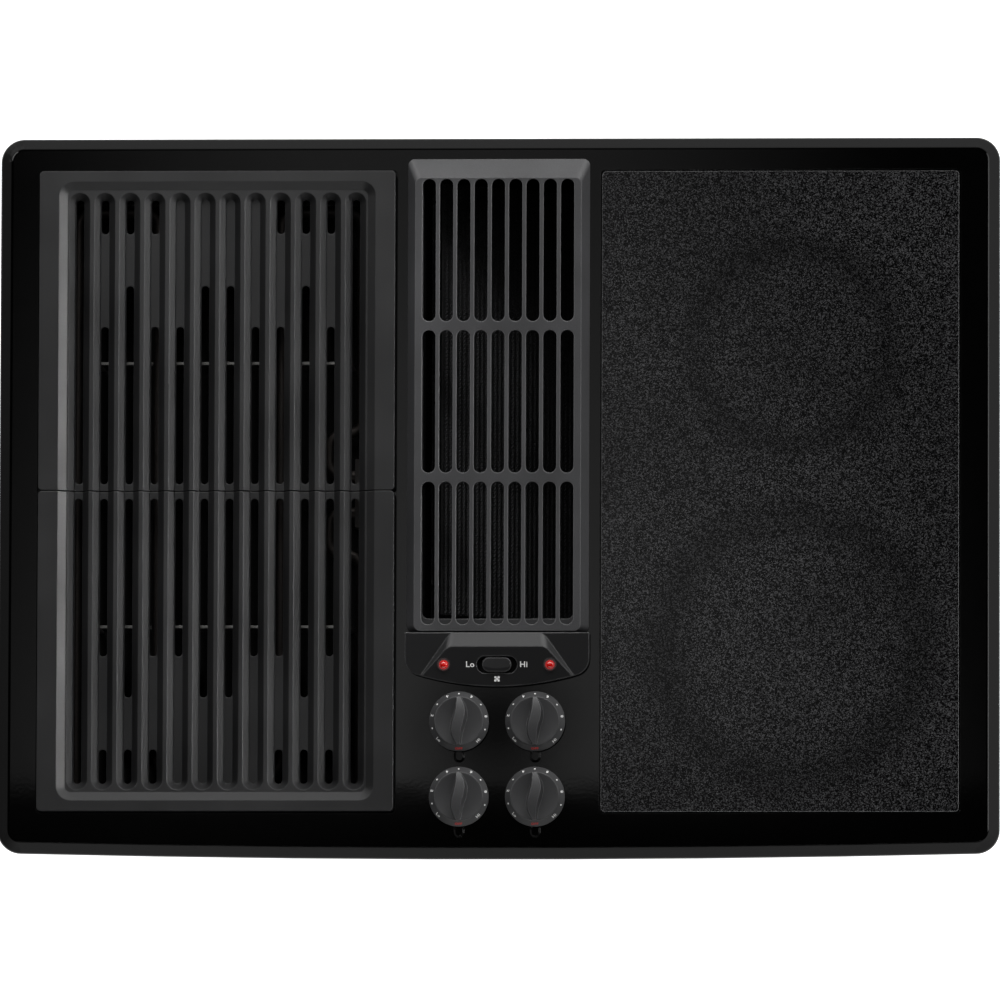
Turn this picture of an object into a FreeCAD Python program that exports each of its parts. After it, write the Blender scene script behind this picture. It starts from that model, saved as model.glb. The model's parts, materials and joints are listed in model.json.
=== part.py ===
import FreeCAD, Part
import math
import os

from FreeCAD import Placement, Rotation, Vector

# Electric downdraft cooktop for a countertop cut-out, in millimetres.
# The origin is the centre of the countertop plane under the rim: X right, Y to the back, Z up.

# Enamelled top
TOP_WIDTH = 758.8
TOP_DEPTH = 548.0
FRONT_BOW = 4.2
TOP_CORNER = 18.0
TOP_HEIGHT = 13.0
TOP_SHEET = 1.5
RIM_RUN = 9.0
RIM_SKIRT = 3.0
RIM_BLEND = 3.0
GASKET_THICKNESS = 2.0
GASKET_WIDTH = 12.0
GASKET_INSET = 0.5

# Two equal bays, left and right, with a ledge sunk into the top
BAY_SIDE_MARGIN = 29.7
BAY_BACK_MARGIN = 25.0
BAY_FRONT_MARGIN = 34.4
BAY_GRILLE_STRIP = 8.1
BAY_CORNER = 4.0
BAY_RECESS = 7.0
LEDGE_WIDTH = 4.5

# Basins and burner box below the top
BASIN_GAP = 2.0
BASIN_WALL = 1.0
BASIN_FLANGE = 4.0
BASIN_DEPTH = 78.0
BASIN_BEVEL = 12.0
BASIN_CORNER = 9.0
BOX_MARGIN = 11.0
BOX_FRONT_MARGIN = 17.0
BOX_WALL = 1.0
BOX_FLANGE = 4.0
BOX_DEPTH = 97.0
LOUVRE_COUNT = 6
LOUVRE_PITCH = 24.0
LOUVRE_WIDTH = 5.0
LOUVRE_LENGTH = 46.0

# Grill grates
GRATE_GAP = 1.3
GRATE_SPLIT = 0.8
GRATE_HEIGHT = 17.0
GRATE_CORNER = 3.0
GRATE_SIDE_FLAT = 14.8
GRATE_END_FLAT = 8.0
RECESS_SLOPE = 6.2
RECESS_DEPTH = 4.5
RECESS_CORNER = 11.0
GROOVE_PITCH = 19.07
GROOVE_TOP_HALF = 7.9
GROOVE_FLOOR_HALF = 3.05
GROOVE_DEPTH = 6.5
GROOVE_STRIP = 1.8
GRATE_FLOOR = 4.5
GRATE_DROP = 1.2
GRATE_RIM = 4.0
SLOT_HALF = 2.95
SLOT_SPLIT_MARGIN = 5.4
SLOT_MIDDLE_SHARE = 0.5587
SLOT_LONG_SHARE = 0.701
SLOT_SHORT_LENGTH = 20.3
# Slots of one half of the grate, from its side to its middle
SLOT_PATTERN = ["full", "short middle", "short long", "short middle", "middle", "long"]

# Grill element, its cross straps and the drip pan
ELEMENT_TUBE = 4.0
ELEMENT_DROP = 27.0
ELEMENT_BEND = 10.0
ELEMENT_LEAD = 14.0
ELEMENT_JOG = 46.0
ELEMENT_JOG_STEP = 24.0
ELEMENT_SIDE_MARGIN = 28.3
ELEMENT_INNER_SHARE = 0.435
ELEMENT_BACK_MARGIN = 29.3
ELEMENT_FRONT_MARGIN = 32.3
ELEMENT_RETURN_MARGIN = 15.3
STRAP_SHARE = 0.411
STRAP_THICKNESS = 2.0
STRAP_HEIGHT = 10.0
STRAP_INSET = 8.0
STRAP_LEG = 8.0
CURVED_GAP = 0.3
DRIP_PAN_INSET = 14.0
DRIP_PAN_FLARE = 9.0
DRIP_PAN_HEIGHT = 34.0
DRIP_PAN_WALL = 1.0
DRIP_PAN_CORNER = 12.0

# Plug-in connections of the two bays
RECEPTACLE_DEPTH = 18.0
RECEPTACLE_WIDTH = 58.0
RECEPTACLE_HEIGHT = 30.0
RECEPTACLE_TOP = -2.0
RECEPTACLE_SLOT = 13.0
PLUG_GAP = 4.0
PLUG_DEPTH = 8.0
PLUG_WIDTH = 52.0
PLUG_HEIGHT = 20.0
BLADE_SPACING = 28.0
BLADE_THICKNESS = 2.0
BLADE_HEIGHT = 10.0
BLADE_LENGTH = 13.0
BLADE_CLEARANCE = 0.5

# Glass-ceramic cartridge
GLASS_GAP = 1.2
GLASS_THICKNESS = 4.0
GLASS_PROUD = 0.6
GLASS_CORNER = 3.0
CARTRIDGE_SHEET = 1.2
CARTRIDGE_OUTER_MARGIN = 15.0
CARTRIDGE_END_MARGIN = 15.0
CARTRIDGE_PAN_DEPTH = 37.0
CARTRIDGE_FLANGE = 8.0
CARTRIDGE_CORNER = 10.0
FRONT_HEATER_SHARE = 0.4814
REAR_HEATER_SHARE = 0.377
FRONT_HEATER_PLACE = 0.2415
REAR_HEATER_PLACE = 0.7411
HEATER_WALL = 1.0
HEATER_RIM = 9.0
HEATER_FLOOR = 6.0
HEATER_AIR = 0.4
LAMP_RADIUS = 5.0
LAMP_PITCH = 34.0
LIMITER_RADIUS = 3.0
LIMITER_ANGLE = -50.0

# Vent opening, air grille and filter
VENT_CORNER = 8.0
VENT_LIP = 8.0
GRILLE_WIDTH = 138.0
GRILLE_BACK_MARGIN = 17.0
GRILLE_SIDE_LAP = 8.0
GRILLE_END_LAP = 7.0
GRILLE_HEIGHT = 12.0
GRILLE_EDGE = 3.0
GRILLE_SIDE_BEVEL = 6.0
GRILLE_BACK_BEVEL = 15.0
GRILLE_FRONT_BEVEL = 0.8
GRILLE_CORNER = 5.0
GRILLE_WALL = 3.0
GRILLE_PLATE = 4.5
GRILLE_FIT = 0.6
GRILLE_SKIRT = 6.0
AIR_SLOT_COLUMNS = 9
AIR_SLOT_ROWS = 3
AIR_SLOT_WIDTH = 10.1
AIR_SLOT_BAR = 6.6
AIR_SLOT_SIDE_MARGIN = 5.55
AIR_SLOT_BACK_MARGIN = 0.8
AIR_SLOT_FRONT_MARGIN = 4.7
PLENUM_GAP = 4.0
PLENUM_FIT = 0.5
PLENUM_WALL = 1.0
PLENUM_FLANGE = 5.0
PLENUM_CORNER = 9.0
PLENUM_THROAT = 125.0
PLENUM_FLOOR_RISE = 3.5
PLENUM_FRONT_TAPER = 58.0
PLENUM_BACK_TAPER = 112.0
FILTER_TILT = 40.0
FILTER_SIDE_GAP = 7.4
FILTER_THICKNESS = 8.0
FILTER_BORDER = 9.0
FILTER_SHEET = 0.8
FILTER_END_GAP = 3.0
FILTER_CENTRE_DROP = 71.0
FILTER_SHELF = 13.0

# Control console
CONSOLE_GAP = 0.5
CONSOLE_OVERHANG = 0.7
CONSOLE_DEPTH = 40.5
CONSOLE_FRONT_RADIUS = 214.0
CONSOLE_CORNER = 13.0
CONSOLE_WALL = 2.2
CONSOLE_FRONT_DROP = 4.5
WEDGE_RISE = 3.6
WEDGE_BAND = 11.0
WEDGE_BACK_HALF = 35.0
WEDGE_BROW_STEP = 2.0
WEDGE_SPREAD = 23.0
WEDGE_BLEND = 10.0
CONTROL_LINE = 24.4
LENS_OFFSET = 40.2
LENS_RADIUS = 4.6
LENS_DOME = 3.65
LENS_HEIGHT = 5.0
LENS_FIT = 0.05
LAMP_BODY_RADIUS = 3.9
LAMP_BODY_LENGTH = 17.0
ROCKER_LENGTH = 22.0
ROCKER_WIDTH = 10.7
ROCKER_WINDOW_LENGTH = 30.5
ROCKER_WINDOW_WIDTH = 12.6
ROCKER_PROUD = 1.6
ROCKER_DISH = 120.0
ROCKER_DEPTH = 8.5
ROCKER_PIN = 1.2
ROCKER_PIN_DROP = 5.6
RUNNING_FIT = 0.05
SWITCH_COLLAR = 2.0
FAN_SWITCH_DEPTH = 20.0
CONSOLE_CUT_LENGTH = 100.0
CONSOLE_CUT_WIDTH = 19.0

# Knobs, shafts and heat switches
KNOB_SPACING_X = 57.6
KNOB_SPACING_Y = 57.0
KNOB_FROM_CONSOLE = 26.4
KNOB_FRONT_MARGIN = 46.6
KNOB_RADIUS = 22.65
KNOB_FACE_RADIUS = 18.8
KNOB_EDGE = 1.2
KNOB_SKIRT_RISE = 3.8
KNOB_FACE_STEP = 0.8
KNOB_FACE_RIM = 1.2
KNOB_DISH = 1.8
KNOB_GRIP_RISE = 12.0
KNOB_GRIP_HALF = 3.9
KNOB_GRIP_FLARE = 2.0
KNOB_GRIP_SWAY = 1.5
KNOB_GRIP_TAPER = 0.72
KNOB_GRIP_POINTS = 9
KNOB_GRIP_CROWN = 48.0
KNOB_SHELL = 2.0
KNOB_HUB = 6.0
KNOB_TRAVEL = 3.0
KNOB_AIR = 1.6
SHAFT_RADIUS = 3.0
SHAFT_FLAT = 1.6
SHAFT_FIT = 0.05
SHAFT_GRIP = 7.5
COLLAR_HEIGHT = 3.0
COLLAR_GAP = 0.4
BUSHING_RADIUS = 7.0
BUSHING_RISE = 3.0
BUSHING_FIT = 0.3
SHAFT_HOLE = 8.0
INDEX_RADIUS = 5.0
INDEX_TUCK = 3.0
INDEX_RISE = 1.2
INDEX_LENGTH = 2.0
BRACKET_SHEET = 1.5
BRACKET_SIDE_MARGIN = 28.0
BRACKET_END_MARGIN = 22.0
BRACKET_FOOT = 7.0
SWITCH_SIDE = 38.0
SWITCH_HEIGHT = 34.0
SWITCH_BORE_DEPTH = 18.0
SWITCH_CORNER = 3.0
TERMINAL_LENGTH = 9.0
NUT_RADIUS = 9.5
NUT_HEIGHT = 1.2

# Blower on the right wall of the plenum, turning about the X axis
BLOWER_FORWARD = 27.0
BLOWER_DROP = 228.0
BLOWER_WIDTH = 74.0
BLOWER_WALL = 1.2
VOLUTE_START = 86.0
VOLUTE_STEP = 14.0
OUTLET_INNER = 45.0
OUTLET_REACH = 115.0
WHEEL_RADIUS = 72.0
WHEEL_WIDTH = 58.0
WHEEL_PLATE = 1.5
WHEEL_HUB = 12.0
WHEEL_RING = 1.5
BLADE_COUNT = 32
BLADE_INNER = 60.0
BLADE_CURVE = 9.0
BLADE_SHEET = 1.0
INLET_RADIUS = 56.0
INLET_FIT = 0.3
INLET_WALL = 1.5
INLET_FLANGE = 10.0
INLET_LENGTH = 5.0
WHEEL_GAP = 3.0
MOTOR_PORT = 78.0
MOTOR_FLANGE = 10.0
MOTOR_FLANGE_SHEET = 2.0
MOTOR_RADIUS = 42.0
MOTOR_LENGTH = 66.0
MOTOR_BELL = 9.0
MOTOR_STACK = 2.5
MOTOR_SHAFT = 4.0
COLLAR_RADIUS = 62.7
COLLAR_WALL = 1.2
COLLAR_TRANSITION = 42.0
COLLAR_LENGTH = 40.0

# Junction box and hold-downs
JUNCTION_LENGTH = 110.0
JUNCTION_WIDTH = 80.0
JUNCTION_DEPTH = 48.0
JUNCTION_WALL = 1.5
JUNCTION_SIDE_MARGIN = 60.7
JUNCTION_BACK_MARGIN = 80.0
KNOCKOUT_RADIUS = 11.1
HOLD_DOWN_HEIGHT = 44.0
HOLD_DOWN_WIDTH = 36.0
HOLD_DOWN_SHEET = 2.0
HOLD_DOWN_REACH = 15.0
HOLD_DOWN_Z = -78.0
CLAMP_RADIUS = 3.0
CLAMP_PAD = 5.0
CLAMP_PAD_HEIGHT = 2.0
CLAMP_HEAD = 5.0
CLAMP_HEAD_HEIGHT = 3.5
COUNTER_THICKNESS = 38.0

UP = Vector(0, 0, 1)
OVERCUT = 1.0

# Levels and places that follow from the sizes above
top_underside = TOP_HEIGHT - TOP_SHEET
ledge_top = TOP_HEIGHT - BAY_RECESS
ledge_underside = ledge_top - TOP_SHEET
grate_top = ledge_top + GRATE_HEIGHT
grille_top = TOP_HEIGHT + GRILLE_HEIGHT
front_row = KNOB_FRONT_MARGIN - TOP_DEPTH / 2
knob_rows = [front_row + KNOB_SPACING_Y, front_row]
console_front = knob_rows[0] + KNOB_FROM_CONSOLE
console_back = console_front + CONSOLE_DEPTH
control_y = console_back - CONTROL_LINE
grille_front = console_back + CONSOLE_GAP
grille_back = TOP_DEPTH / 2 - GRILLE_BACK_MARGIN
bay_inner = GRILLE_WIDTH / 2 + BAY_GRILLE_STRIP
bay_width = TOP_WIDTH / 2 - BAY_SIDE_MARGIN - bay_inner
bay_depth = TOP_DEPTH - BAY_BACK_MARGIN - BAY_FRONT_MARGIN
bay_offset = bay_inner + bay_width / 2
bay_centre_y = (BAY_FRONT_MARGIN - BAY_BACK_MARGIN) / 2
vent_centre_y = (grille_front + grille_back) / 2
blower_y = vent_centre_y - BLOWER_FORWARD
blower_z = TOP_HEIGHT - BLOWER_DROP
outlet_end = blower_z - OUTLET_REACH
knob_bottom = TOP_HEIGHT + KNOB_TRAVEL + KNOB_AIR
basin_floor = ledge_underside - BASIN_DEPTH
box_floor = top_underside - BOX_DEPTH
element_z = TOP_HEIGHT - ELEMENT_DROP
glass_top = TOP_HEIGHT + GLASS_PROUD
glass_underside = glass_top - GLASS_THICKNESS
frame_plate = glass_underside - CARTRIDGE_SHEET
cartridge_floor = frame_plate - CARTRIDGE_PAN_DEPTH


def grown(area, amount):
    """The area (x0, x1, y0, y1) widened by an amount on all sides."""
    x0, x1, y0, y1 = area
    return (x0 - amount, x1 + amount, y0 - amount, y1 + amount)


def centred(x, y, width, depth):
    return (x - width / 2, x + width / 2, y - depth / 2, y + depth / 2)


def rounded_wire(area, radius, z):
    """Closed rectangle with round corners at height z."""
    x0, x1, y0, y1 = area
    centres = [
        Vector(x1 - radius, y1 - radius, z),
        Vector(x0 + radius, y1 - radius, z),
        Vector(x0 + radius, y0 + radius, z),
        Vector(x1 - radius, y0 + radius, z),
    ]
    arcs = [Part.makeCircle(radius, centre, UP, 90 * i, 90 * i + 90) for i, centre in enumerate(centres)]
    edges = []
    for arc, following in zip(arcs, arcs[1:] + arcs[:1]):
        edges.append(arc)
        edges.append(Part.makeLine(arc.Vertexes[-1].Point, following.Vertexes[0].Point))
    return Part.Wire(edges)


def slot_wire(x, y0, y1, radius, z):
    """Closed round-ended slot along Y between the arc centres y0 and y1."""
    back = Part.makeCircle(radius, Vector(x, y1, z), UP, 0, 180)
    front = Part.makeCircle(radius, Vector(x, y0, z), UP, 180, 360)
    left = Part.makeLine(Vector(x - radius, y1, z), Vector(x - radius, y0, z))
    right = Part.makeLine(Vector(x + radius, y0, z), Vector(x + radius, y1, z))
    return Part.Wire([back, left, front, right])


def raised(wire, height):
    return Part.Face(wire).extrude(Vector(0, 0, height))


def prism(area, radius, z0, z1):
    return raised(rounded_wire(area, radius, z0), z1 - z0)


def block(area, z0, z1):
    x0, x1, y0, y1 = area
    return Part.makeBox(x1 - x0, y1 - y0, z1 - z0, Vector(x0, y0, z0))


def frustum(low_area, low_radius, z0, high_area, high_radius, z1):
    sections = [rounded_wire(low_area, low_radius, z0), rounded_wire(high_area, high_radius, z1)]
    return Part.makeLoft(sections, True, True)


def post(radius, x, y, z0, z1):
    return Part.makeCylinder(radius, z1 - z0, Vector(x, y, z0))


def slot_prism(x, y0, y1, radius, z0, z1):
    return raised(slot_wire(x, y0, y1, radius, z0), z1 - z0)


def pill(x, y, length, width, z0, z1):
    """Upright prism of a round-ended slot along X."""
    reach = (length - width) / 2
    shape = slot_prism(0, -reach, reach, width / 2, z0, z1)
    shape.rotate(Vector(0, 0, 0), UP, 90)
    shape.translate(Vector(x, y, 0))
    return shape


def revolved(points):
    """Solid of revolution about Z from (radius, z) points."""
    profile = Part.makePolygon([Vector(r, 0, z) for r, z in points + points[:1]])
    return Part.Face(profile).revolve(Vector(0, 0, 0), UP, 360)


def below(point, normal):
    """Large block that fills the side of a plane away from its normal."""
    size = TOP_WIDTH
    shape = Part.makeBox(size, size, size, Vector(-size / 2, -size / 2, -size))
    shape.Placement = Placement(point, Rotation(UP, normal))
    return shape


def bent_path(points, radius):
    """Wire of straight runs with a tangent arc at each inner point."""
    edges = []
    start = points[0]
    for before, corner, after in zip(points, points[1:], points[2:]):
        into = (corner - before).normalize()
        out = (after - corner).normalize()
        reach = radius * math.tan(into.getAngle(out) / 2)
        entry = corner - into * reach
        leave = corner + out * reach
        inward = (out - into).normalize()
        middle = corner + inward * (math.hypot(radius, reach) - radius)
        edges.append(Part.makeLine(start, entry))
        edges.append(Part.Arc(entry, middle, leave).toShape())
        start = leave
    edges.append(Part.makeLine(start, points[-1]))
    return Part.Wire(edges)


def bay_area(side):
    return centred(side * bay_offset, bay_centre_y, bay_width, bay_depth)


def ledge_area(side):
    return grown(bay_area(side), -LEDGE_WIDTH)


def basin_area(side):
    return grown(ledge_area(side), BASIN_GAP)


def box_area():
    left = bay_area(-1)
    right = bay_area(1)
    return (left[0] - BOX_MARGIN, right[1] + BOX_MARGIN, left[2] - BOX_FRONT_MARGIN, left[3] + BOX_MARGIN)


def grille_area():
    return (-GRILLE_WIDTH / 2, GRILLE_WIDTH / 2, grille_front, grille_back)


def vent_area():
    """Opening in the top under the grille."""
    x0, x1, y0, y1 = grille_area()
    return (x0 + GRILLE_SIDE_LAP, x1 - GRILLE_SIDE_LAP, y0 + GRILLE_END_LAP, y1 - GRILLE_END_LAP)


def plenum_area():
    return grown(vent_area(), PLENUM_GAP)


def knob_places():
    """Name and axis of each knob."""
    for row, y in zip(["rear", "front"], knob_rows):
        for column, side in [("left", -1), ("right", 1)]:
            yield f"{row}_{column}", side * KNOB_SPACING_X / 2, y


# Enamelled top


def top_outline(inset, z):
    """Plan of the top, with round corners and a front edge that bows out."""
    corner_x = TOP_WIDTH / 2 - TOP_CORNER
    back_y = TOP_DEPTH / 2 - TOP_CORNER
    front_y = FRONT_BOW + TOP_CORNER - TOP_DEPTH / 2
    radius = TOP_CORNER - inset
    places = [(corner_x, back_y), (-corner_x, back_y), (-corner_x, front_y), (corner_x, front_y)]
    arcs = []
    for i, (x, y) in enumerate(places):
        arcs.append(Part.makeCircle(radius, Vector(x, y, z), UP, 90 * i, 90 * i + 90))
    edges = []
    for index, arc in enumerate(arcs):
        end = arc.Vertexes[-1].Point
        start = arcs[(index + 1) % 4].Vertexes[0].Point
        edges.append(arc)
        if index == 2:
            edges.append(Part.Arc(end, Vector(0, end.y - FRONT_BOW, z), start).toShape())
        else:
            edges.append(Part.makeLine(end, start))
    return Part.Wire(edges)


def rim_profile(offset):
    """Points (inset, height) up the rim: upright skirt, bevel and top, with blended corners."""
    knee_z = GASKET_THICKNESS + RIM_SKIRT
    slope = math.atan2(TOP_HEIGHT - knee_z, RIM_RUN)
    blend = max(RIM_BLEND - offset, TOP_SHEET / 2)
    knee = Vector(offset, knee_z - offset * math.tan((math.pi / 2 - slope) / 2), 0)
    brow = Vector(RIM_RUN + offset * math.tan(slope / 2), TOP_HEIGHT - offset, 0)
    corners = [Vector(offset, GASKET_THICKNESS, 0), knee, brow, brow + Vector(RIM_RUN, 0, 0)]
    points = [corners[0]]
    for arc in bent_path(corners, blend).Edges[1::2]:
        points += arc.discretize(4)
    return [(point.x, point.y) for point in points]


def rim_solid(offset):
    sections = [top_outline(inset, z) for inset, z in rim_profile(offset)]
    return Part.makeLoft(sections, True, True)


def index_bump(x, y):
    """Embossed pointer bump that runs out from under a knob."""
    centre = y - KNOB_RADIUS + INDEX_TUCK - INDEX_RADIUS
    low = slot_wire(x, centre - INDEX_LENGTH, centre, INDEX_RADIUS, TOP_HEIGHT - TOP_SHEET / 2)
    high = slot_wire(x, centre - INDEX_LENGTH, centre, INDEX_RADIUS - 2 * INDEX_RISE, TOP_HEIGHT + INDEX_RISE)
    return Part.makeLoft([low, high], True, True)


def console_cut_area():
    return centred(0, control_y, CONSOLE_CUT_LENGTH, CONSOLE_CUT_WIDTH)


def main_top():
    inside_sheet = TOP_HEIGHT - TOP_SHEET / 2
    shape = rim_solid(0).cut(rim_solid(TOP_SHEET))
    tools = []
    for side in (-1, 1):
        wall = grown(bay_area(side), TOP_SHEET)
        shape = shape.fuse(prism(wall, BAY_CORNER + TOP_SHEET, ledge_underside, inside_sheet))
        tools.append(prism(bay_area(side), BAY_CORNER, ledge_top, TOP_HEIGHT + OVERCUT))
        tools.append(prism(ledge_area(side), BAY_CORNER, ledge_underside - OVERCUT, ledge_top + OVERCUT))
    lip = prism(grown(vent_area(), TOP_SHEET), VENT_CORNER + TOP_SHEET, TOP_HEIGHT - VENT_LIP, inside_sheet)
    shape = shape.fuse(lip)
    tools.append(prism(vent_area(), VENT_CORNER, TOP_HEIGHT - VENT_LIP - OVERCUT, TOP_HEIGHT + OVERCUT))
    tools.append(prism(console_cut_area(), BAY_CORNER, top_underside - OVERCUT, TOP_HEIGHT + OVERCUT))
    for name, x, y in knob_places():
        shape = shape.fuse(index_bump(x, y))
        tools.append(post(SHAFT_HOLE, x, y, top_underside - OVERCUT, TOP_HEIGHT + OVERCUT))
    return shape.cut(tools).removeSplitter()


def rim_gasket():
    outer = raised(top_outline(GASKET_INSET, 0), GASKET_THICKNESS)
    inner = raised(top_outline(GASKET_INSET + GASKET_WIDTH, 0), GASKET_THICKNESS)
    return outer.cut(inner)


# Burner box and basins


def burner_box():
    area = box_area()
    corner = BAY_CORNER + BOX_MARGIN
    outer = prism(area, corner, box_floor - BOX_WALL, top_underside)
    inner = prism(grown(area, -BOX_WALL), corner - BOX_WALL, box_floor, top_underside - BOX_WALL)
    mouth_area = grown(area, -BOX_WALL - BOX_FLANGE)
    mouth = prism(mouth_area, corner - BOX_FLANGE, box_floor, top_underside + OVERCUT)
    passage_area = grown(plenum_area(), PLENUM_FIT)
    passage = prism(passage_area, PLENUM_CORNER, box_floor - BOX_WALL - OVERCUT, box_floor + OVERCUT)
    tools = [inner, mouth, passage]
    width = area[1] - area[0] + 2 * OVERCUT
    middle_z = (box_floor + top_underside) / 2
    for index in range(LOUVRE_COUNT):
        y = bay_centre_y + (index + 2) * LOUVRE_PITCH
        slit = centred(0, y, width, LOUVRE_WIDTH)
        tools.append(block(slit, middle_z - LOUVRE_LENGTH / 2, middle_z + LOUVRE_LENGTH / 2))
    return outer.cut(tools)


def basin_form(area, floor, rim):
    """Drawn pan shape with a bevel round its floor."""
    low = grown(area, -BASIN_BEVEL)
    bevel = frustum(low, BASIN_CORNER, floor, area, BASIN_CORNER, floor + BASIN_BEVEL)
    return bevel.fuse(prism(area, BASIN_CORNER, floor + BASIN_BEVEL, rim)).removeSplitter()


def basin(side):
    area = basin_area(side)
    outer_area = grown(area, BASIN_WALL)
    outer = basin_form(outer_area, basin_floor - BASIN_WALL, ledge_underside)
    flange_area = grown(outer_area, BASIN_FLANGE)
    flange = prism(flange_area, BASIN_CORNER, ledge_underside - BASIN_WALL, ledge_underside)
    return outer.fuse(flange).cut(basin_form(area, basin_floor, ledge_underside + OVERCUT)).removeSplitter()


# Grill


def grate_slots(kind, groove_end):
    """Arc centres of the through slots of one groove, measured from the split line."""
    near = SLOT_SPLIT_MARGIN + SLOT_HALF
    spans = {
        "full": [(near, groove_end)],
        "short": [(groove_end - SLOT_SHORT_LENGTH, groove_end)],
        "middle": [(near, SLOT_MIDDLE_SHARE * groove_end)],
        "long": [(near, SLOT_LONG_SHARE * groove_end)],
    }
    return [span for word in kind.split() for span in spans[word]]


def grill_grate():
    """Rear grate about the middle of the bay, with its split edge along X."""
    half = bay_width / 2 - GRATE_GAP
    front = GRATE_SPLIT / 2
    back = bay_depth / 2 - GRATE_GAP
    rib_z = grate_top - RECESS_DEPTH
    floor_z = rib_z - GROOVE_DEPTH
    fit_half = half - LEDGE_WIDTH
    fit_back = back - LEDGE_WIDTH
    lip = prism((-half, half, front, back), GRATE_CORNER, ledge_top, grate_top)
    drop_area = (-fit_half, fit_half, front, fit_back)
    drop = prism(drop_area, GRATE_CORNER, ledge_top - GRATE_DROP, ledge_top + OVERCUT)
    pocket_area = (GRATE_RIM - fit_half, fit_half - GRATE_RIM, front - GRATE_CORNER, fit_back - GRATE_RIM)
    pocket = prism(pocket_area, GRATE_CORNER, ledge_top - GRATE_DROP - OVERCUT, floor_z - GRATE_FLOOR)
    flat_half = half - GRATE_SIDE_FLAT
    flat_back = back - GRATE_END_FLAT
    open_front = -2 * RECESS_CORNER
    spread = RECESS_SLOPE * OVERCUT / RECESS_DEPTH
    high = (-flat_half - spread, flat_half + spread, open_front, flat_back + spread)
    low = (RECESS_SLOPE - flat_half, flat_half - RECESS_SLOPE, open_front, flat_back - RECESS_SLOPE)
    low_corner = RECESS_CORNER - RECESS_SLOPE
    recess = frustum(low, low_corner, rib_z, high, RECESS_CORNER + spread, grate_top + OVERCUT)
    shape = lip.fuse(drop).cut([pocket, recess])
    groove_end = low[3] - GROOVE_STRIP - GROOVE_TOP_HALF
    lean = (GROOVE_TOP_HALF - GROOVE_FLOOR_HALF) * OVERCUT / GROOVE_DEPTH
    pattern = SLOT_PATTERN + SLOT_PATTERN[::-1]
    grooves = []
    slots = []
    for index, kind in enumerate(pattern):
        x = (index - (len(pattern) - 1) / 2) * GROOVE_PITCH
        floor = slot_wire(x, open_front, groove_end, GROOVE_FLOOR_HALF, floor_z)
        brim = slot_wire(x, open_front, groove_end, GROOVE_TOP_HALF + lean, rib_z + OVERCUT)
        grooves.append(Part.makeLoft([floor, brim], True, True))
        for start, end in grate_slots(kind, groove_end):
            underside = floor_z - GRATE_FLOOR
            slots.append(slot_prism(x, start, end, SLOT_HALF, underside - OVERCUT, floor_z + OVERCUT))
    return shape.cut(grooves).cut(slots)


def rear_grill_grate():
    shape = grill_grate()
    shape.translate(Vector(-bay_offset, bay_centre_y, 0))
    return shape


def front_grill_grate():
    shape = grill_grate()
    shape.rotate(Vector(0, 0, 0), UP, 180)
    shape.translate(Vector(-bay_offset, bay_centre_y, 0))
    return shape


def plug_reach():
    """Distance from the middle of a bay to the far face of its plug."""
    return bay_width / 2 - LEDGE_WIDTH + BASIN_GAP - RECEPTACLE_DEPTH - PLUG_GAP - PLUG_DEPTH


def element_half():
    """Distance from the middle of the bay to the outer runs of the tube."""
    return bay_width / 2 - ELEMENT_SIDE_MARGIN


def element_place(x, y):
    return Vector(x - bay_offset, y + bay_centre_y, element_z)


def grill_element():
    """Bent tube: two leads, four runs along Y and a return across the front."""
    lead_start = plug_reach()
    side = element_half()
    inner = ELEMENT_INNER_SHARE * side
    jog = side - ELEMENT_JOG_STEP
    back = bay_depth / 2 - ELEMENT_BACK_MARGIN
    front = ELEMENT_FRONT_MARGIN - bay_depth / 2
    across = ELEMENT_RETURN_MARGIN - bay_depth / 2
    route = [
        (lead_start, ELEMENT_LEAD),
        (jog, ELEMENT_LEAD),
        (jog, ELEMENT_JOG),
        (side, ELEMENT_JOG),
        (side, back),
        (inner, back),
        (inner, front),
        (-inner, front),
        (-inner, back),
        (-side, back),
        (-side, across),
        (side, across),
        (side, -ELEMENT_JOG),
        (jog, -ELEMENT_JOG),
        (jog, -ELEMENT_LEAD),
        (lead_start, -ELEMENT_LEAD),
    ]
    path = bent_path([element_place(x, y) for x, y in route], ELEMENT_BEND)
    section = Part.Wire(Part.makeCircle(ELEMENT_TUBE, element_place(*route[0]), Vector(1, 0, 0)))
    return path.makePipeShell([section], True, False)


def plug(side, level):
    """Plug body with two upright blades that point to the middle of the cooktop."""
    far = side * (bay_offset - plug_reach())
    near = far - side * PLUG_DEPTH
    tip = near - side * BLADE_LENGTH
    body_area = (min(far, near), max(far, near), bay_centre_y - PLUG_WIDTH / 2, bay_centre_y + PLUG_WIDTH / 2)
    shape = block(body_area, level - PLUG_HEIGHT / 2, level + PLUG_HEIGHT / 2)
    for offset in (-BLADE_SPACING / 2, BLADE_SPACING / 2):
        middle = (near + tip) / 2
        blade = centred(middle, bay_centre_y + offset, BLADE_LENGTH, BLADE_THICKNESS)
        shape = shape.fuse(block(blade, level - BLADE_HEIGHT / 2, level + BLADE_HEIGHT / 2))
    return shape


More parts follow.
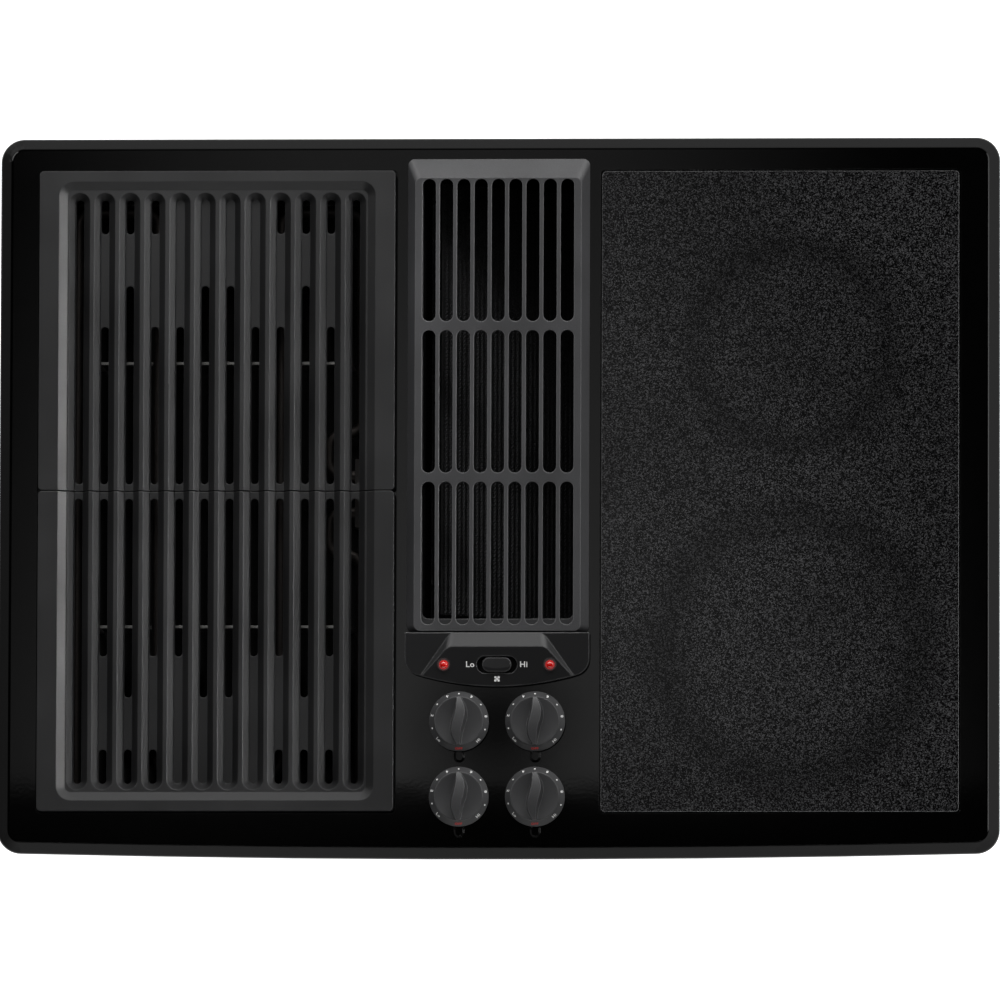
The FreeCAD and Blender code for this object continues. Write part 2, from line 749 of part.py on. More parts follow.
def receptacle(side):
    """Ceramic socket on the inner wall of a basin, with slots open to the top and front."""
    wall = side * (bay_offset - bay_width / 2 + LEDGE_WIDTH - BASIN_GAP)
    face = wall + side * RECEPTACLE_DEPTH
    middle = (wall + face) / 2
    shape = prism(
        centred(middle, bay_centre_y, RECEPTACLE_DEPTH, RECEPTACLE_WIDTH),
        BLADE_THICKNESS,
        RECEPTACLE_TOP - RECEPTACLE_HEIGHT,
        RECEPTACLE_TOP,
    )
    slot_floor = element_z - BLADE_HEIGHT / 2 - BLADE_CLEARANCE
    slot_width = BLADE_THICKNESS + 2 * BLADE_CLEARANCE
    tools = []
    for offset in (-BLADE_SPACING / 2, BLADE_SPACING / 2):
        inner = face - side * RECEPTACLE_SLOT
        outer = face + side * OVERCUT
        slot = centred((inner + outer) / 2, bay_centre_y + offset, abs(outer - inner), slot_width)
        tools.append(block(slot, slot_floor, RECEPTACLE_TOP + OVERCUT))
    return shape.cut(tools)


def element_terminal_block():
    return plug(-1, element_z)


def drip_pan_floor():
    return grown(basin_area(-1), -DRIP_PAN_INSET)


def element_straps():
    """Two upright cross straps that carry the tube, each on two legs in the drip pan."""
    top = element_z - ELEMENT_TUBE
    foot = basin_floor + DRIP_PAN_WALL
    straps = []
    half = element_half() - STRAP_INSET
    for side in (-1, 1):
        y = bay_centre_y + side * STRAP_SHARE * bay_depth / 2
        bar = centred(-bay_offset, y, 2 * half, STRAP_THICKNESS)
        shape = block(bar, top - STRAP_HEIGHT, top - CURVED_GAP)
        for end in (-1, 1):
            x = end * (half - STRAP_LEG / 2) - bay_offset
            shape = shape.fuse(block(centred(x, y, STRAP_LEG, STRAP_THICKNESS), foot, top - STRAP_HEIGHT))
        straps.append(shape.removeSplitter())
    return Part.makeCompound(straps)


def drip_pan_form(shrink, floor):
    low = grown(drip_pan_floor(), -shrink)
    high = grown(low, DRIP_PAN_FLARE)
    rim = basin_floor + DRIP_PAN_HEIGHT
    corner = DRIP_PAN_CORNER - shrink
    return frustum(low, corner, floor, high, corner, rim)


def drip_pan():
    return drip_pan_form(0, basin_floor).cut(drip_pan_form(DRIP_PAN_WALL, basin_floor + DRIP_PAN_WALL))


# Glass-ceramic cartridge


def glass_area():
    return grown(bay_area(1), -GLASS_GAP)


def cartridge_area():
    """Inside of the cartridge pan."""
    x0, x1, y0, y1 = glass_area()
    return (
        bay_offset - plug_reach() + CARTRIDGE_SHEET,
        x1 - CARTRIDGE_OUTER_MARGIN,
        y0 + CARTRIDGE_END_MARGIN,
        y1 - CARTRIDGE_END_MARGIN,
    )


def heaters():
    """Name, radius and centre of each heating zone."""
    x0, x1, y0, y1 = cartridge_area()
    x = (x0 + x1) / 2
    depth = y1 - y0
    room = min(x1 - x0, depth / 2)
    return [
        ("rear", REAR_HEATER_SHARE * room, Vector(x, y0 + REAR_HEATER_PLACE * depth, 0)),
        ("front", FRONT_HEATER_SHARE * room, Vector(x, y0 + FRONT_HEATER_PLACE * depth, 0)),
    ]


def glass_panel():
    return prism(glass_area(), GLASS_CORNER, glass_underside, glass_top)


def cartridge_frame():
    area = glass_area()
    outer = prism(area, GLASS_CORNER, ledge_top, glass_underside)
    inner = prism(grown(area, -CARTRIDGE_SHEET), GLASS_CORNER, ledge_top - OVERCUT, frame_plate)
    mouth = prism(cartridge_area(), CARTRIDGE_CORNER, ledge_top, glass_underside + OVERCUT)
    return outer.cut([inner, mouth])


def cartridge_pan():
    area = cartridge_area()
    wall = grown(area, CARTRIDGE_SHEET)
    corner = CARTRIDGE_CORNER + CARTRIDGE_SHEET
    outer = prism(wall, corner, cartridge_floor - CARTRIDGE_SHEET, frame_plate)
    flange = prism(grown(area, CARTRIDGE_FLANGE), corner, frame_plate - CARTRIDGE_SHEET, frame_plate)
    inner = prism(area, CARTRIDGE_CORNER, cartridge_floor, frame_plate + OVERCUT)
    return outer.fuse(flange).cut(inner).removeSplitter()


def heater_dish(radius, centre):
    """Round steel dish lined with ceramic fibre: a floor and a raised ring."""
    rim = glass_underside - HEATER_AIR
    floor = cartridge_floor + HEATER_FLOOR
    shape = revolved(
        [
            (0, cartridge_floor),
            (radius, cartridge_floor),
            (radius, rim),
            (radius - HEATER_RIM, rim),
            (radius - HEATER_RIM - HEATER_WALL, floor),
            (0, floor),
        ]
    )
    shape.translate(centre)
    return shape


def heater_lamps():
    """Three straight quartz tubes on the floor of each heater dish."""
    z = cartridge_floor + HEATER_FLOOR + LAMP_RADIUS + CURVED_GAP
    lamps = []
    for name, radius, centre in heaters():
        reach = radius - HEATER_RIM - HEATER_WALL
        for step in (-1, 0, 1):
            offset = step * LAMP_PITCH
            half = math.sqrt(reach * reach - (abs(offset) + LAMP_RADIUS) ** 2) - CURVED_GAP
            start = centre + Vector(-half, offset, z)
            lamps.append(Part.makeCylinder(LAMP_RADIUS, 2 * half, start, Vector(1, 0, 0)))
    return Part.makeCompound(lamps)


def heater_limiters():
    """One sensor rod across each zone, above its lamps."""
    rods = []
    z = cartridge_floor + HEATER_FLOOR + 2 * LAMP_RADIUS + 2 * CURVED_GAP + LIMITER_RADIUS
    angle = math.radians(LIMITER_ANGLE)
    along = Vector(math.cos(angle), math.sin(angle), 0)
    for name, radius, centre in heaters():
        half = radius - HEATER_RIM - HEATER_WALL - CURVED_GAP - LIMITER_RADIUS
        start = centre - along * half + Vector(0, 0, z)
        rods.append(Part.makeCylinder(LIMITER_RADIUS, 2 * half, start, along))
    return Part.makeCompound(rods)


def cartridge_plug():
    return plug(1, element_z)


# Vent, air grille and filter


def grille_form(inset, top):
    """Outside or inside form of the air grille: an upright edge, then bevels on the back and sides."""
    base = grown(grille_area(), -inset)
    x0, x1, y0, y1 = base
    edge_z = TOP_HEIGHT + GRILLE_EDGE
    crown = (
        x0 + GRILLE_SIDE_BEVEL,
        x1 - GRILLE_SIDE_BEVEL,
        y0 + GRILLE_FRONT_BEVEL,
        y1 - GRILLE_BACK_BEVEL,
    )
    foot = prism(base, GRILLE_CORNER, TOP_HEIGHT, edge_z)
    return foot.fuse(frustum(base, GRILLE_CORNER, edge_z, crown, GRILLE_CORNER, top)).removeSplitter()


def air_grille():
    shape = grille_form(0, grille_top).cut(grille_form(GRILLE_WALL, grille_top - GRILLE_PLATE))
    skirt_area = grown(vent_area(), -GRILLE_FIT)
    skirt_floor = TOP_HEIGHT - GRILLE_SKIRT
    seat = TOP_HEIGHT + GRILLE_EDGE
    plate_area = grown(grille_area(), -GRILLE_WALL / 2)
    seat_plate = prism(plate_area, GRILLE_CORNER, TOP_HEIGHT, seat)
    skirt = prism(skirt_area, VENT_CORNER, skirt_floor, seat)
    throat = prism(grown(skirt_area, -GRILLE_WALL), VENT_CORNER - GRILLE_WALL, skirt_floor - OVERCUT, seat)
    shape = shape.fuse(seat_plate.fuse(skirt).cut(throat)).removeSplitter()
    back = grille_back - GRILLE_BACK_BEVEL - AIR_SLOT_BACK_MARGIN
    front = grille_front + GRILLE_FRONT_BEVEL + AIR_SLOT_FRONT_MARGIN
    length = (back - front + AIR_SLOT_BAR) / AIR_SLOT_ROWS - AIR_SLOT_BAR
    span = GRILLE_WIDTH - 2 * GRILLE_SIDE_BEVEL - 2 * AIR_SLOT_SIDE_MARGIN - AIR_SLOT_WIDTH
    pitch = span / (AIR_SLOT_COLUMNS - 1)
    radius = AIR_SLOT_WIDTH / 2
    tools = []
    for row in range(AIR_SLOT_ROWS):
        row_back = back - row * (length + AIR_SLOT_BAR)
        for column in range(AIR_SLOT_COLUMNS):
            x = column * pitch - span / 2
            start = row_back - length + radius
            tools.append(slot_prism(x, start, row_back - radius, radius, seat, grille_top + OVERCUT))
    return shape.cut(tools)


def plenum_form(shrink, floor, rim):
    """Upright throat over a hopper whose front and back walls lean in."""
    x0, x1, y0, y1 = grown(plenum_area(), -shrink)
    corner = PLENUM_CORNER - shrink
    throat_z = top_underside - PLENUM_THROAT
    low = (x0, x1, y0 + PLENUM_FRONT_TAPER, y1 - PLENUM_BACK_TAPER)
    hopper = frustum(low, corner, floor, (x0, x1, y0, y1), corner, throat_z)
    return hopper.fuse(prism((x0, x1, y0, y1), corner, throat_z, rim)).removeSplitter()


def filter_place(shape):
    """Turns a filter piece drawn flat, with its underside at Z = 0, into its slanted place."""
    shape.rotate(Vector(0, 0, 0), Vector(0, 1, 0), FILTER_TILT)
    shape.translate(Vector(0, vent_centre_y, TOP_HEIGHT - FILTER_CENTRE_DROP))
    return shape


def filter_width():
    """Width along the slant, between the side walls of the plenum."""
    span = plenum_area()[1] - PLENUM_WALL - FILTER_SIDE_GAP
    return 2 * span / math.cos(math.radians(FILTER_TILT))


def filter_area():
    x0, x1, y0, y1 = plenum_area()
    return centred(0, 0, filter_width(), y1 - y0 - 2 * PLENUM_WALL - 2 * FILTER_END_GAP)


def filter_shelves():
    """Slanted shelves on both side walls of the plenum, the lower one with a stop."""
    x0, x1, y0, y1 = filter_area()
    wall = (plenum_area()[1] - PLENUM_WALL / 2) / math.cos(math.radians(FILTER_TILT))
    high = block((-wall, x0 + FILTER_SHELF, y0, y1), -PLENUM_WALL, 0)
    low = block((x1 - FILTER_SHELF, wall, y0, y1), -PLENUM_WALL, 0)
    stop = block((x1 + CURVED_GAP, x1 + CURVED_GAP + PLENUM_WALL, y0, y1), -PLENUM_WALL, FILTER_THICKNESS / 2)
    return [filter_place(high), filter_place(low.fuse(stop).removeSplitter())]


def vent_plenum():
    floor = outlet_end + PLENUM_FLOOR_RISE
    x0, x1, y0, y1 = plenum_area()
    shape = plenum_form(0, floor, top_underside)
    ear_area = (x0 - PLENUM_FLANGE, x1 + PLENUM_FLANGE, y0 + PLENUM_CORNER, y1 - PLENUM_CORNER)
    ears = block(ear_area, top_underside - PLENUM_WALL, top_underside)
    shape = shape.fuse(ears).cut(plenum_form(PLENUM_WALL, floor + PLENUM_WALL, top_underside + OVERCUT))
    for shelf in filter_shelves():
        shape = shape.fuse(shelf)
    inlet = Part.makeCylinder(
        INLET_RADIUS + INLET_FIT,
        2 * PLENUM_WALL + 2 * OVERCUT,
        Vector(x1 - PLENUM_WALL - OVERCUT, blower_y, blower_z),
        Vector(1, 0, 0),
    )
    return shape.cut(inlet).removeSplitter()


def filter_frame():
    """Thin channel folded round the edge of the filter pack."""
    area = filter_area()
    outer = block(area, 0, FILTER_THICKNESS)
    pack = block(grown(area, -FILTER_SHEET), FILTER_SHEET, FILTER_THICKNESS - FILTER_SHEET)
    window = block(grown(area, -FILTER_BORDER), -OVERCUT, FILTER_THICKNESS + OVERCUT)
    return filter_place(outer.cut([pack, window]))


def filter_mesh():
    """Pack of expanded mesh held in the frame."""
    area = grown(filter_area(), -FILTER_SHEET)
    return filter_place(block(area, FILTER_SHEET, FILTER_THICKNESS - FILTER_SHEET))


# Console


def console_outline(inset, z):
    """Plan of the console: straight back and sides, round front corners and a bowed front."""
    half = GRILLE_WIDTH / 2 + CONSOLE_OVERHANG - inset
    back = console_back - inset
    bow = CONSOLE_FRONT_RADIUS - inset
    corner = CONSOLE_CORNER - inset
    bow_centre = Vector(0, console_front + CONSOLE_FRONT_RADIUS, z)
    run = half - corner
    rise = math.sqrt((bow - corner) ** 2 - run**2)
    centre = Vector(-run, bow_centre.y - rise, z)
    outward = (centre - bow_centre).normalize()
    touch = bow_centre + outward * bow
    side = Vector(-half, centre.y, z)
    corner_middle = centre + (outward + Vector(-1, 0, 0)).normalize() * corner
    mirrored = [Vector(-point.x, point.y, z) for point in (touch, corner_middle, side)]
    front = Vector(0, bow_centre.y - bow, z)
    edges = [
        Part.makeLine(Vector(half, back, z), Vector(-half, back, z)),
        Part.makeLine(Vector(-half, back, z), side),
        Part.Arc(side, corner_middle, touch).toShape(),
        Part.Arc(touch, front, mirrored[0]).toShape(),
        Part.Arc(mirrored[0], mirrored[1], mirrored[2]).toShape(),
        Part.makeLine(mirrored[2], Vector(half, back, z)),
    ]
    return Part.Wire(edges)


def slope_normal(y0, z0, y1, z1):
    """Upward normal of a plane that holds the X direction and two points."""
    return Vector(0, z0 - z1, y1 - y0).normalize() * (1 if y1 > y0 else -1)


def control_height(y):
    """Height of the slanted control face at a place along Y."""
    back_y = console_back - WEDGE_BAND
    back_z = grille_top + WEDGE_RISE
    front_z = grille_top - CONSOLE_FRONT_DROP
    return back_z + (y - back_y) * (front_z - back_z) / (console_front - back_y)


def console_form(inset):
    """Console solid: a sloped base and a raised wedge with bevels on its back and sides."""
    down = Vector(0, 0, -inset)
    back = Vector(0, console_back, grille_top)
    base_normal = slope_normal(console_front, grille_top - CONSOLE_FRONT_DROP, console_back, grille_top)
    face_back = console_back - WEDGE_BAND
    brow_z = control_height(face_back)
    face_normal = slope_normal(console_front, control_height(console_front), face_back, brow_z)
    band_normal = slope_normal(face_back, brow_z, console_back, grille_top)
    outline = raised(console_outline(inset, TOP_HEIGHT), GRILLE_HEIGHT + 2 * WEDGE_RISE)
    base = outline.common(below(back + down, base_normal))
    wedge = outline.common(below(Vector(0, face_back, brow_z) + down, face_normal))
    wedge = wedge.common(below(back + down, band_normal))
    for side in (-1, 1):
        foot = Vector(side * WEDGE_BACK_HALF, console_back, grille_top)
        brow = Vector(side * (WEDGE_BACK_HALF + WEDGE_BROW_STEP), face_back, brow_z)
        toe_y = console_front + CONSOLE_CORNER / 2
        toe = Vector(side * (WEDGE_BACK_HALF + WEDGE_SPREAD), toe_y, control_height(toe_y))
        flank = (brow - foot).cross(toe - foot).normalize()
        if flank.z < 0:
            flank = flank * -1
        wedge = wedge.common(below(foot + down, flank))
    corners = []
    for edge in wedge.Edges:
        box = edge.BoundBox
        if OVERCUT < box.XLength < WEDGE_BAND and box.YMin > face_back - OVERCUT:
            corners.append(edge)
    wedge = wedge.makeFillet(WEDGE_BLEND, corners)
    return base.fuse(wedge).removeSplitter()


def rocker_seat():
    """Height of the underside of the rocker's collar, where the fan switch sits."""
    return control_height(control_y) - ROCKER_DEPTH - 3 * SWITCH_COLLAR


def console_shell():
    shape = console_form(0).cut(console_form(CONSOLE_WALL))
    top = grille_top + 2 * WEDGE_RISE
    collar_length = ROCKER_WINDOW_LENGTH + 2 * SWITCH_COLLAR
    collar_width = ROCKER_WINDOW_WIDTH + 2 * SWITCH_COLLAR
    collar = pill(0, control_y, collar_length, collar_width, TOP_HEIGHT, top).common(console_form(0))
    foot = pill(0, control_y, collar_length, collar_width, rocker_seat(), TOP_HEIGHT)
    shape = shape.fuse([collar, foot])
    tools = [pill(0, control_y, ROCKER_WINDOW_LENGTH, ROCKER_WINDOW_WIDTH, rocker_seat() - OVERCUT, top)]
    for side in (-1, 1):
        tools.append(post(LENS_RADIUS + LENS_FIT, side * LENS_OFFSET, control_y, TOP_HEIGHT, top))
    return shape.cut(tools).removeSplitter()


def signal_lenses():
    lenses = []
    face = control_height(control_y)
    bottom = face - LENS_HEIGHT
    for side in (-1, 1):
        x = side * LENS_OFFSET
        rim = post(LENS_RADIUS, x, control_y, bottom, face + LENS_DOME / 8)
        dome = Part.makeSphere(LENS_DOME, Vector(0, 0, 0), UP, 0, 90, 360)
        dome.translate(Vector(x, control_y, face - LENS_DOME / 2))
        lenses.append(rim.fuse(dome).removeSplitter())
    return Part.makeCompound(lenses)


def signal_lamps():
    bottom = control_height(control_y) - LENS_HEIGHT
    lamps = []
    for x in (-LENS_OFFSET, LENS_OFFSET):
        lamps.append(post(LAMP_BODY_RADIUS, x, control_y, bottom - LAMP_BODY_LENGTH, bottom))
    return Part.makeCompound(lamps)


def rocker_pin_height():
    return control_height(control_y) - ROCKER_PIN_DROP


def fan_switch_body():
    """Switch below the rocker, with two cheeks that hold its pivot pin."""
    seat = rocker_seat()
    length = ROCKER_WINDOW_LENGTH + 2 * SWITCH_COLLAR
    width = ROCKER_WINDOW_WIDTH + 2 * SWITCH_COLLAR
    shape = prism(centred(0, control_y, length, width), SWITCH_COLLAR, seat - FAN_SWITCH_DEPTH, seat)
    pin_z = rocker_pin_height()
    inner = ROCKER_WIDTH / 2 + RUNNING_FIT
    outer = ROCKER_WINDOW_WIDTH / 2 - RUNNING_FIT
    for side in (-1, 1):
        y = control_y + side * (inner + outer) / 2
        cheek = centred(0, y, 6 * ROCKER_PIN, outer - inner)
        shape = shape.fuse(block(cheek, seat, pin_z + 2 * ROCKER_PIN))
    pin = Part.makeCylinder(ROCKER_PIN, 2 * outer, Vector(0, control_y - outer, pin_z), Vector(0, 1, 0))
    return shape.fuse(pin).removeSplitter()


def fan_rocker():
    """Pill-shaped button with a dished top, bored for the pivot pin."""
    face = control_height(control_y)
    shape = pill(0, control_y, ROCKER_LENGTH, ROCKER_WIDTH, face - ROCKER_DEPTH, face + 3 * ROCKER_PROUD)
    back_y = console_back - WEDGE_BAND
    normal = slope_normal(console_front, control_height(console_front), back_y, control_height(back_y))
    shape = shape.common(below(Vector(0, control_y, face + ROCKER_PROUD), normal))
    dish_z = face + ROCKER_PROUD + ROCKER_DISH - ROCKER_PROUD / 2
    start = Vector(0, control_y - ROCKER_WIDTH, dish_z)
    shape = shape.cut(Part.makeCylinder(ROCKER_DISH, 2 * ROCKER_WIDTH, start, Vector(0, 1, 0)))
    bore = Vector(0, control_y - ROCKER_WIDTH, rocker_pin_height())
    return shape.cut(Part.makeCylinder(ROCKER_PIN + RUNNING_FIT, 2 * ROCKER_WIDTH, bore, Vector(0, 1, 0)))


# Knobs and heat switches


def hub_bottom():
    return top_underside - TOP_SHEET / 8


def grip_outline(reach, middle_half, z):
    """Plan of the grip: a sine centre line, narrow at its two ends."""
    steps = [reach * (2 * i / (KNOB_GRIP_POINTS - 1) - 1) for i in range(KNOB_GRIP_POINTS)]
    sway = [KNOB_GRIP_SWAY * math.sin(math.pi * y / reach) for y in steps]
    half = [middle_half * (1 - KNOB_GRIP_TAPER * (y / reach) ** 2) for y in steps]
    right = Part.BSplineCurve()
    right.interpolate([Vector(s + h, y, z) for y, s, h in zip(steps, sway, half)])
    left = Part.BSplineCurve()
    left.interpolate([Vector(s - h, y, z) for y, s, h in zip(steps[::-1], sway[::-1], half[::-1])])
    near_end = Part.makeLine(left.EndPoint, right.StartPoint)
    far_end = Part.makeLine(right.EndPoint, left.StartPoint)
    return Part.Wire([near_end, right.toShape(), far_end, left.toShape()])


def knob_grip(base):
    """S-shaped grip with drafted sides and a crowned top."""
    reach = KNOB_FACE_RADIUS - KNOB_FACE_STEP
    foot = grip_outline(reach, KNOB_GRIP_HALF + KNOB_GRIP_FLARE, base)
    brow = grip_outline(reach, KNOB_GRIP_HALF, base + KNOB_GRIP_RISE)
    shape = Part.makeLoft([foot, brow], True, True)
    axis_z = base + KNOB_GRIP_RISE - KNOB_GRIP_CROWN
    crown = Part.makeCylinder(KNOB_GRIP_CROWN, 2 * reach, Vector(-reach, 0, axis_z), Vector(1, 0, 0))
    barrel = Part.makeCylinder(reach, 2 * KNOB_GRIP_RISE, Vector(0, 0, base))
    return shape.common(crown).common(barrel)


def shaft_top():
    return hub_bottom() + SHAFT_GRIP


def knob(x, y):
    """Knob with a sloped skirt, a face hollowed as a shallow bowl and an S-shaped grip."""
    edge_z = knob_bottom + KNOB_EDGE
    ring_z = edge_z + KNOB_SKIRT_RISE
    face_z = ring_z + KNOB_FACE_STEP
    floor_z = face_z - KNOB_DISH
    inner = KNOB_FACE_RADIUS - KNOB_FACE_RIM
    bowl = (inner**2 + KNOB_DISH**2) / (2 * KNOB_DISH)
    cavity_z = floor_z - KNOB_SHELL
    shape = revolved(
        [
            (0, hub_bottom()),
            (KNOB_HUB, hub_bottom()),
            (KNOB_HUB, cavity_z),
            (KNOB_FACE_RADIUS - KNOB_SHELL, cavity_z),
            (KNOB_RADIUS - KNOB_SHELL, knob_bottom),
            (KNOB_RADIUS, knob_bottom),
            (KNOB_RADIUS, edge_z),
            (KNOB_FACE_RADIUS, ring_z),
            (KNOB_FACE_RADIUS - KNOB_FACE_STEP / 2, face_z),
            (0, face_z),
        ]
    )
    shape = shape.cut(Part.makeSphere(bowl, Vector(0, 0, floor_z + bowl)))
    shape = shape.fuse(knob_grip(floor_z - KNOB_SHELL / 2)).removeSplitter()
    bore = shaft_section(SHAFT_RADIUS + SHAFT_FIT, SHAFT_FIT, hub_bottom() - OVERCUT, shaft_top() + SHAFT_FIT)
    shape = shape.cut(bore)
    shape.translate(Vector(x, y, 0))
    return shape


def shaft_section(radius, slack, z0, z1):
    """Round bar with one flat side."""
    bar = post(radius, 0, 0, z0, z1)
    flat = Part.makeBox(4 * radius, radius, z1 - z0, Vector(-2 * radius, SHAFT_FLAT + slack, z0))
    return bar.cut(flat)


def collar_bottom():
    return hub_bottom() - COLLAR_HEIGHT


def bushing_top():
    return collar_bottom() - KNOB_TRAVEL - COLLAR_GAP


def bracket_top():
    return bushing_top() - BUSHING_RISE


def knob_shaft(x, y):
    """Switch shaft: round below the collar, with a flat for the knob above it."""
    foot = bracket_top() - BRACKET_SHEET - SWITCH_BORE_DEPTH + KNOB_TRAVEL + KNOB_AIR
    shape = post(SHAFT_RADIUS, 0, 0, foot, hub_bottom())
    shape = shape.fuse(shaft_section(SHAFT_RADIUS, 0, hub_bottom(), shaft_top())).removeSplitter()
    shape.translate(Vector(x, y, 0))
    return shape


def spring_collar(x, y):
    outer = post(KNOB_HUB, x, y, collar_bottom(), hub_bottom())
    return outer.cut(post(SHAFT_RADIUS + RUNNING_FIT, x, y, collar_bottom(), hub_bottom()))


def heat_switch(x, y):
    """Switch body with a bushing, a bore for its shaft and four tab terminals."""
    top = bracket_top() - BRACKET_SHEET
    shape = prism(centred(x, y, SWITCH_SIDE, SWITCH_SIDE), SWITCH_CORNER, top - SWITCH_HEIGHT, top)
    shape = shape.fuse(post(BUSHING_RADIUS, x, y, top, bushing_top()))
    for dx in (-SWITCH_SIDE / 4, SWITCH_SIDE / 4):
        for dy in (-SWITCH_SIDE / 4, SWITCH_SIDE / 4):
            tab = centred(x + dx, y + dy, BLADE_HEIGHT / 2, BLADE_THICKNESS / 2)
            floor = top - SWITCH_HEIGHT
            shape = shape.fuse(block(tab, floor - TERMINAL_LENGTH, floor))
    bore = post(SHAFT_RADIUS + RUNNING_FIT, x, y, top - SWITCH_BORE_DEPTH, bushing_top() + OVERCUT)
    return shape.cut(bore).removeSplitter()


def control_bracket():
    """Channel under the top that carries the four heat switches."""
    half_x = KNOB_SPACING_X / 2 + BRACKET_SIDE_MARGIN
    area = (-half_x, half_x, knob_rows[1] - BRACKET_END_MARGIN, knob_rows[0] + BRACKET_END_MARGIN)
    floor = bracket_top() - BRACKET_SHEET
    shape = block(area, floor, top_underside)
    hollow = (area[0] + BRACKET_SHEET, area[1] - BRACKET_SHEET, area[2] - OVERCUT, area[3] + OVERCUT)
    shape = shape.cut(block(hollow, bracket_top(), top_underside + OVERCUT))
    for side, edge in ((-1, area[0]), (1, area[1])):
        x = edge + side * BRACKET_FOOT / 2
        foot = centred(x, (area[2] + area[3]) / 2, BRACKET_FOOT, area[3] - area[2])
        shape = shape.fuse(block(foot, top_underside - BRACKET_SHEET, top_underside))
    holes = []
    for name, x, y in knob_places():
        holes.append(post(BUSHING_RADIUS + BUSHING_FIT, x, y, floor - OVERCUT, bracket_top() + OVERCUT))
    return shape.cut(holes).removeSplitter()


def switch_nuts():
    """Hexagon nuts that hold the switch bushings to the bracket."""
    nuts = []
    for name, x, y in knob_places():
        corners = [Vector(NUT_RADIUS, 0, bracket_top())]
        for turn in range(60, 420, 60):
            angle = math.radians(turn)
            corners.append(Vector(NUT_RADIUS * math.cos(angle), NUT_RADIUS * math.sin(angle), bracket_top()))
        nut = Part.Face(Part.makePolygon(corners)).extrude(Vector(0, 0, NUT_HEIGHT))
        nut = nut.cut(post(BUSHING_RADIUS + RUNNING_FIT, 0, 0, bracket_top(), bracket_top() + NUT_HEIGHT))
        nut.translate(Vector(x, y, 0))
        nuts.append(nut)
    return Part.makeCompound(nuts)


# Blower, drawn about Z with the volute in the XY plane, then turned so that Z points along X


def blower_place(shape):
    start = plenum_area()[1]
    turn = Rotation(Vector(1, 1, 1), 120)
    place = Placement(Vector(start, blower_y, blower_z), turn)
    shape.Placement = place.multiply(shape.Placement)
    return shape


def volute_face(grow, z):
    """Scroll of three arcs of growing radius with a straight outlet down."""
    half = VOLUTE_STEP / 2
    first = VOLUTE_START + grow
    second = first + VOLUTE_STEP
    third = second + VOLUTE_STEP
    tongue_x = OUTLET_INNER - grow
    tongue_y = half - math.sqrt(first**2 - (tongue_x + half) ** 2)
    tongue_angle = math.degrees(math.atan2(tongue_y - half, tongue_x + half))
    wall_x = half + third

    def around(centre_x, centre_y, radius, angle):
        turn = math.radians(angle)
        return Vector(centre_x + radius * math.cos(turn), centre_y + radius * math.sin(turn), z)

    tongue = Vector(tongue_x, tongue_y, z)
    left = around(-half, half, first, 180)
    top = around(half, half, second, 90)
    right = around(half, -half, third, 0)
    end_right = Vector(wall_x, -OUTLET_REACH, z)
    end_left = Vector(tongue_x, -OUTLET_REACH, z)
    edges = [
        Part.Arc(tongue, around(-half, half, first, (tongue_angle - 180) / 2), left).toShape(),
        Part.Arc(left, around(half, half, second, 135), top).toShape(),
        Part.Arc(top, around(half, -half, third, 45), right).toShape(),
        Part.makeLine(right, end_right),
        Part.makeLine(end_right, end_left),
        Part.makeLine(end_left, tongue),
    ]
    return Part.Face(Part.Wire(edges))


def housing_length():
    return BLOWER_WIDTH + 2 * BLOWER_WALL


def blower_housing():
    length = housing_length()
    shape = volute_face(BLOWER_WALL, 0).extrude(Vector(0, 0, length))
    inside = volute_face(0, BLOWER_WALL).extrude(Vector(0, 0, BLOWER_WIDTH))
    inlet = post(INLET_RADIUS + INLET_FIT, 0, 0, -OVERCUT, BLOWER_WALL + OVERCUT)
    port = post(MOTOR_PORT, 0, 0, length - BLOWER_WALL - OVERCUT, length + OVERCUT)
    return blower_place(shape.cut([inside, inlet, port]))


def blower_inlet_ring():
    """Flared ring from inside the plenum into the blower inlet."""
    flange_z = -PLENUM_WALL
    end = BLOWER_WALL + INLET_LENGTH
    shape = revolved(
        [
            (INLET_RADIUS - INLET_WALL, end),
            (INLET_RADIUS - INLET_WALL, flange_z - INLET_WALL),
            (INLET_RADIUS + INLET_FLANGE, flange_z - INLET_WALL),
            (INLET_RADIUS + INLET_FLANGE, flange_z),
            (INLET_RADIUS, flange_z),
            (INLET_RADIUS, end),
        ]
    )
    return blower_place(shape)


def wheel_start():
    return BLOWER_WALL + INLET_LENGTH + WHEEL_GAP


def blower_wheel():
    """Back plate and hub of the squirrel-cage wheel."""
    z1 = wheel_start() + WHEEL_WIDTH
    plate_z = z1 - WHEEL_PLATE
    plate = revolved(
        [
            (MOTOR_SHAFT, z1 - WHEEL_HUB),
            (WHEEL_HUB, z1 - WHEEL_HUB),
            (WHEEL_HUB, plate_z),
            (WHEEL_RADIUS, plate_z),
            (WHEEL_RADIUS, z1),
            (MOTOR_SHAFT, z1),
        ]
    )
    return blower_place(plate)


def wheel_ring():
    """Flat ring that ties the front ends of the blades."""
    z0 = wheel_start()
    ring = post(WHEEL_RADIUS + WHEEL_RING, 0, 0, z0, z0 + WHEEL_RING)
    return blower_place(ring.cut(post(BLADE_INNER, 0, 0, z0, z0 + WHEEL_RING)))


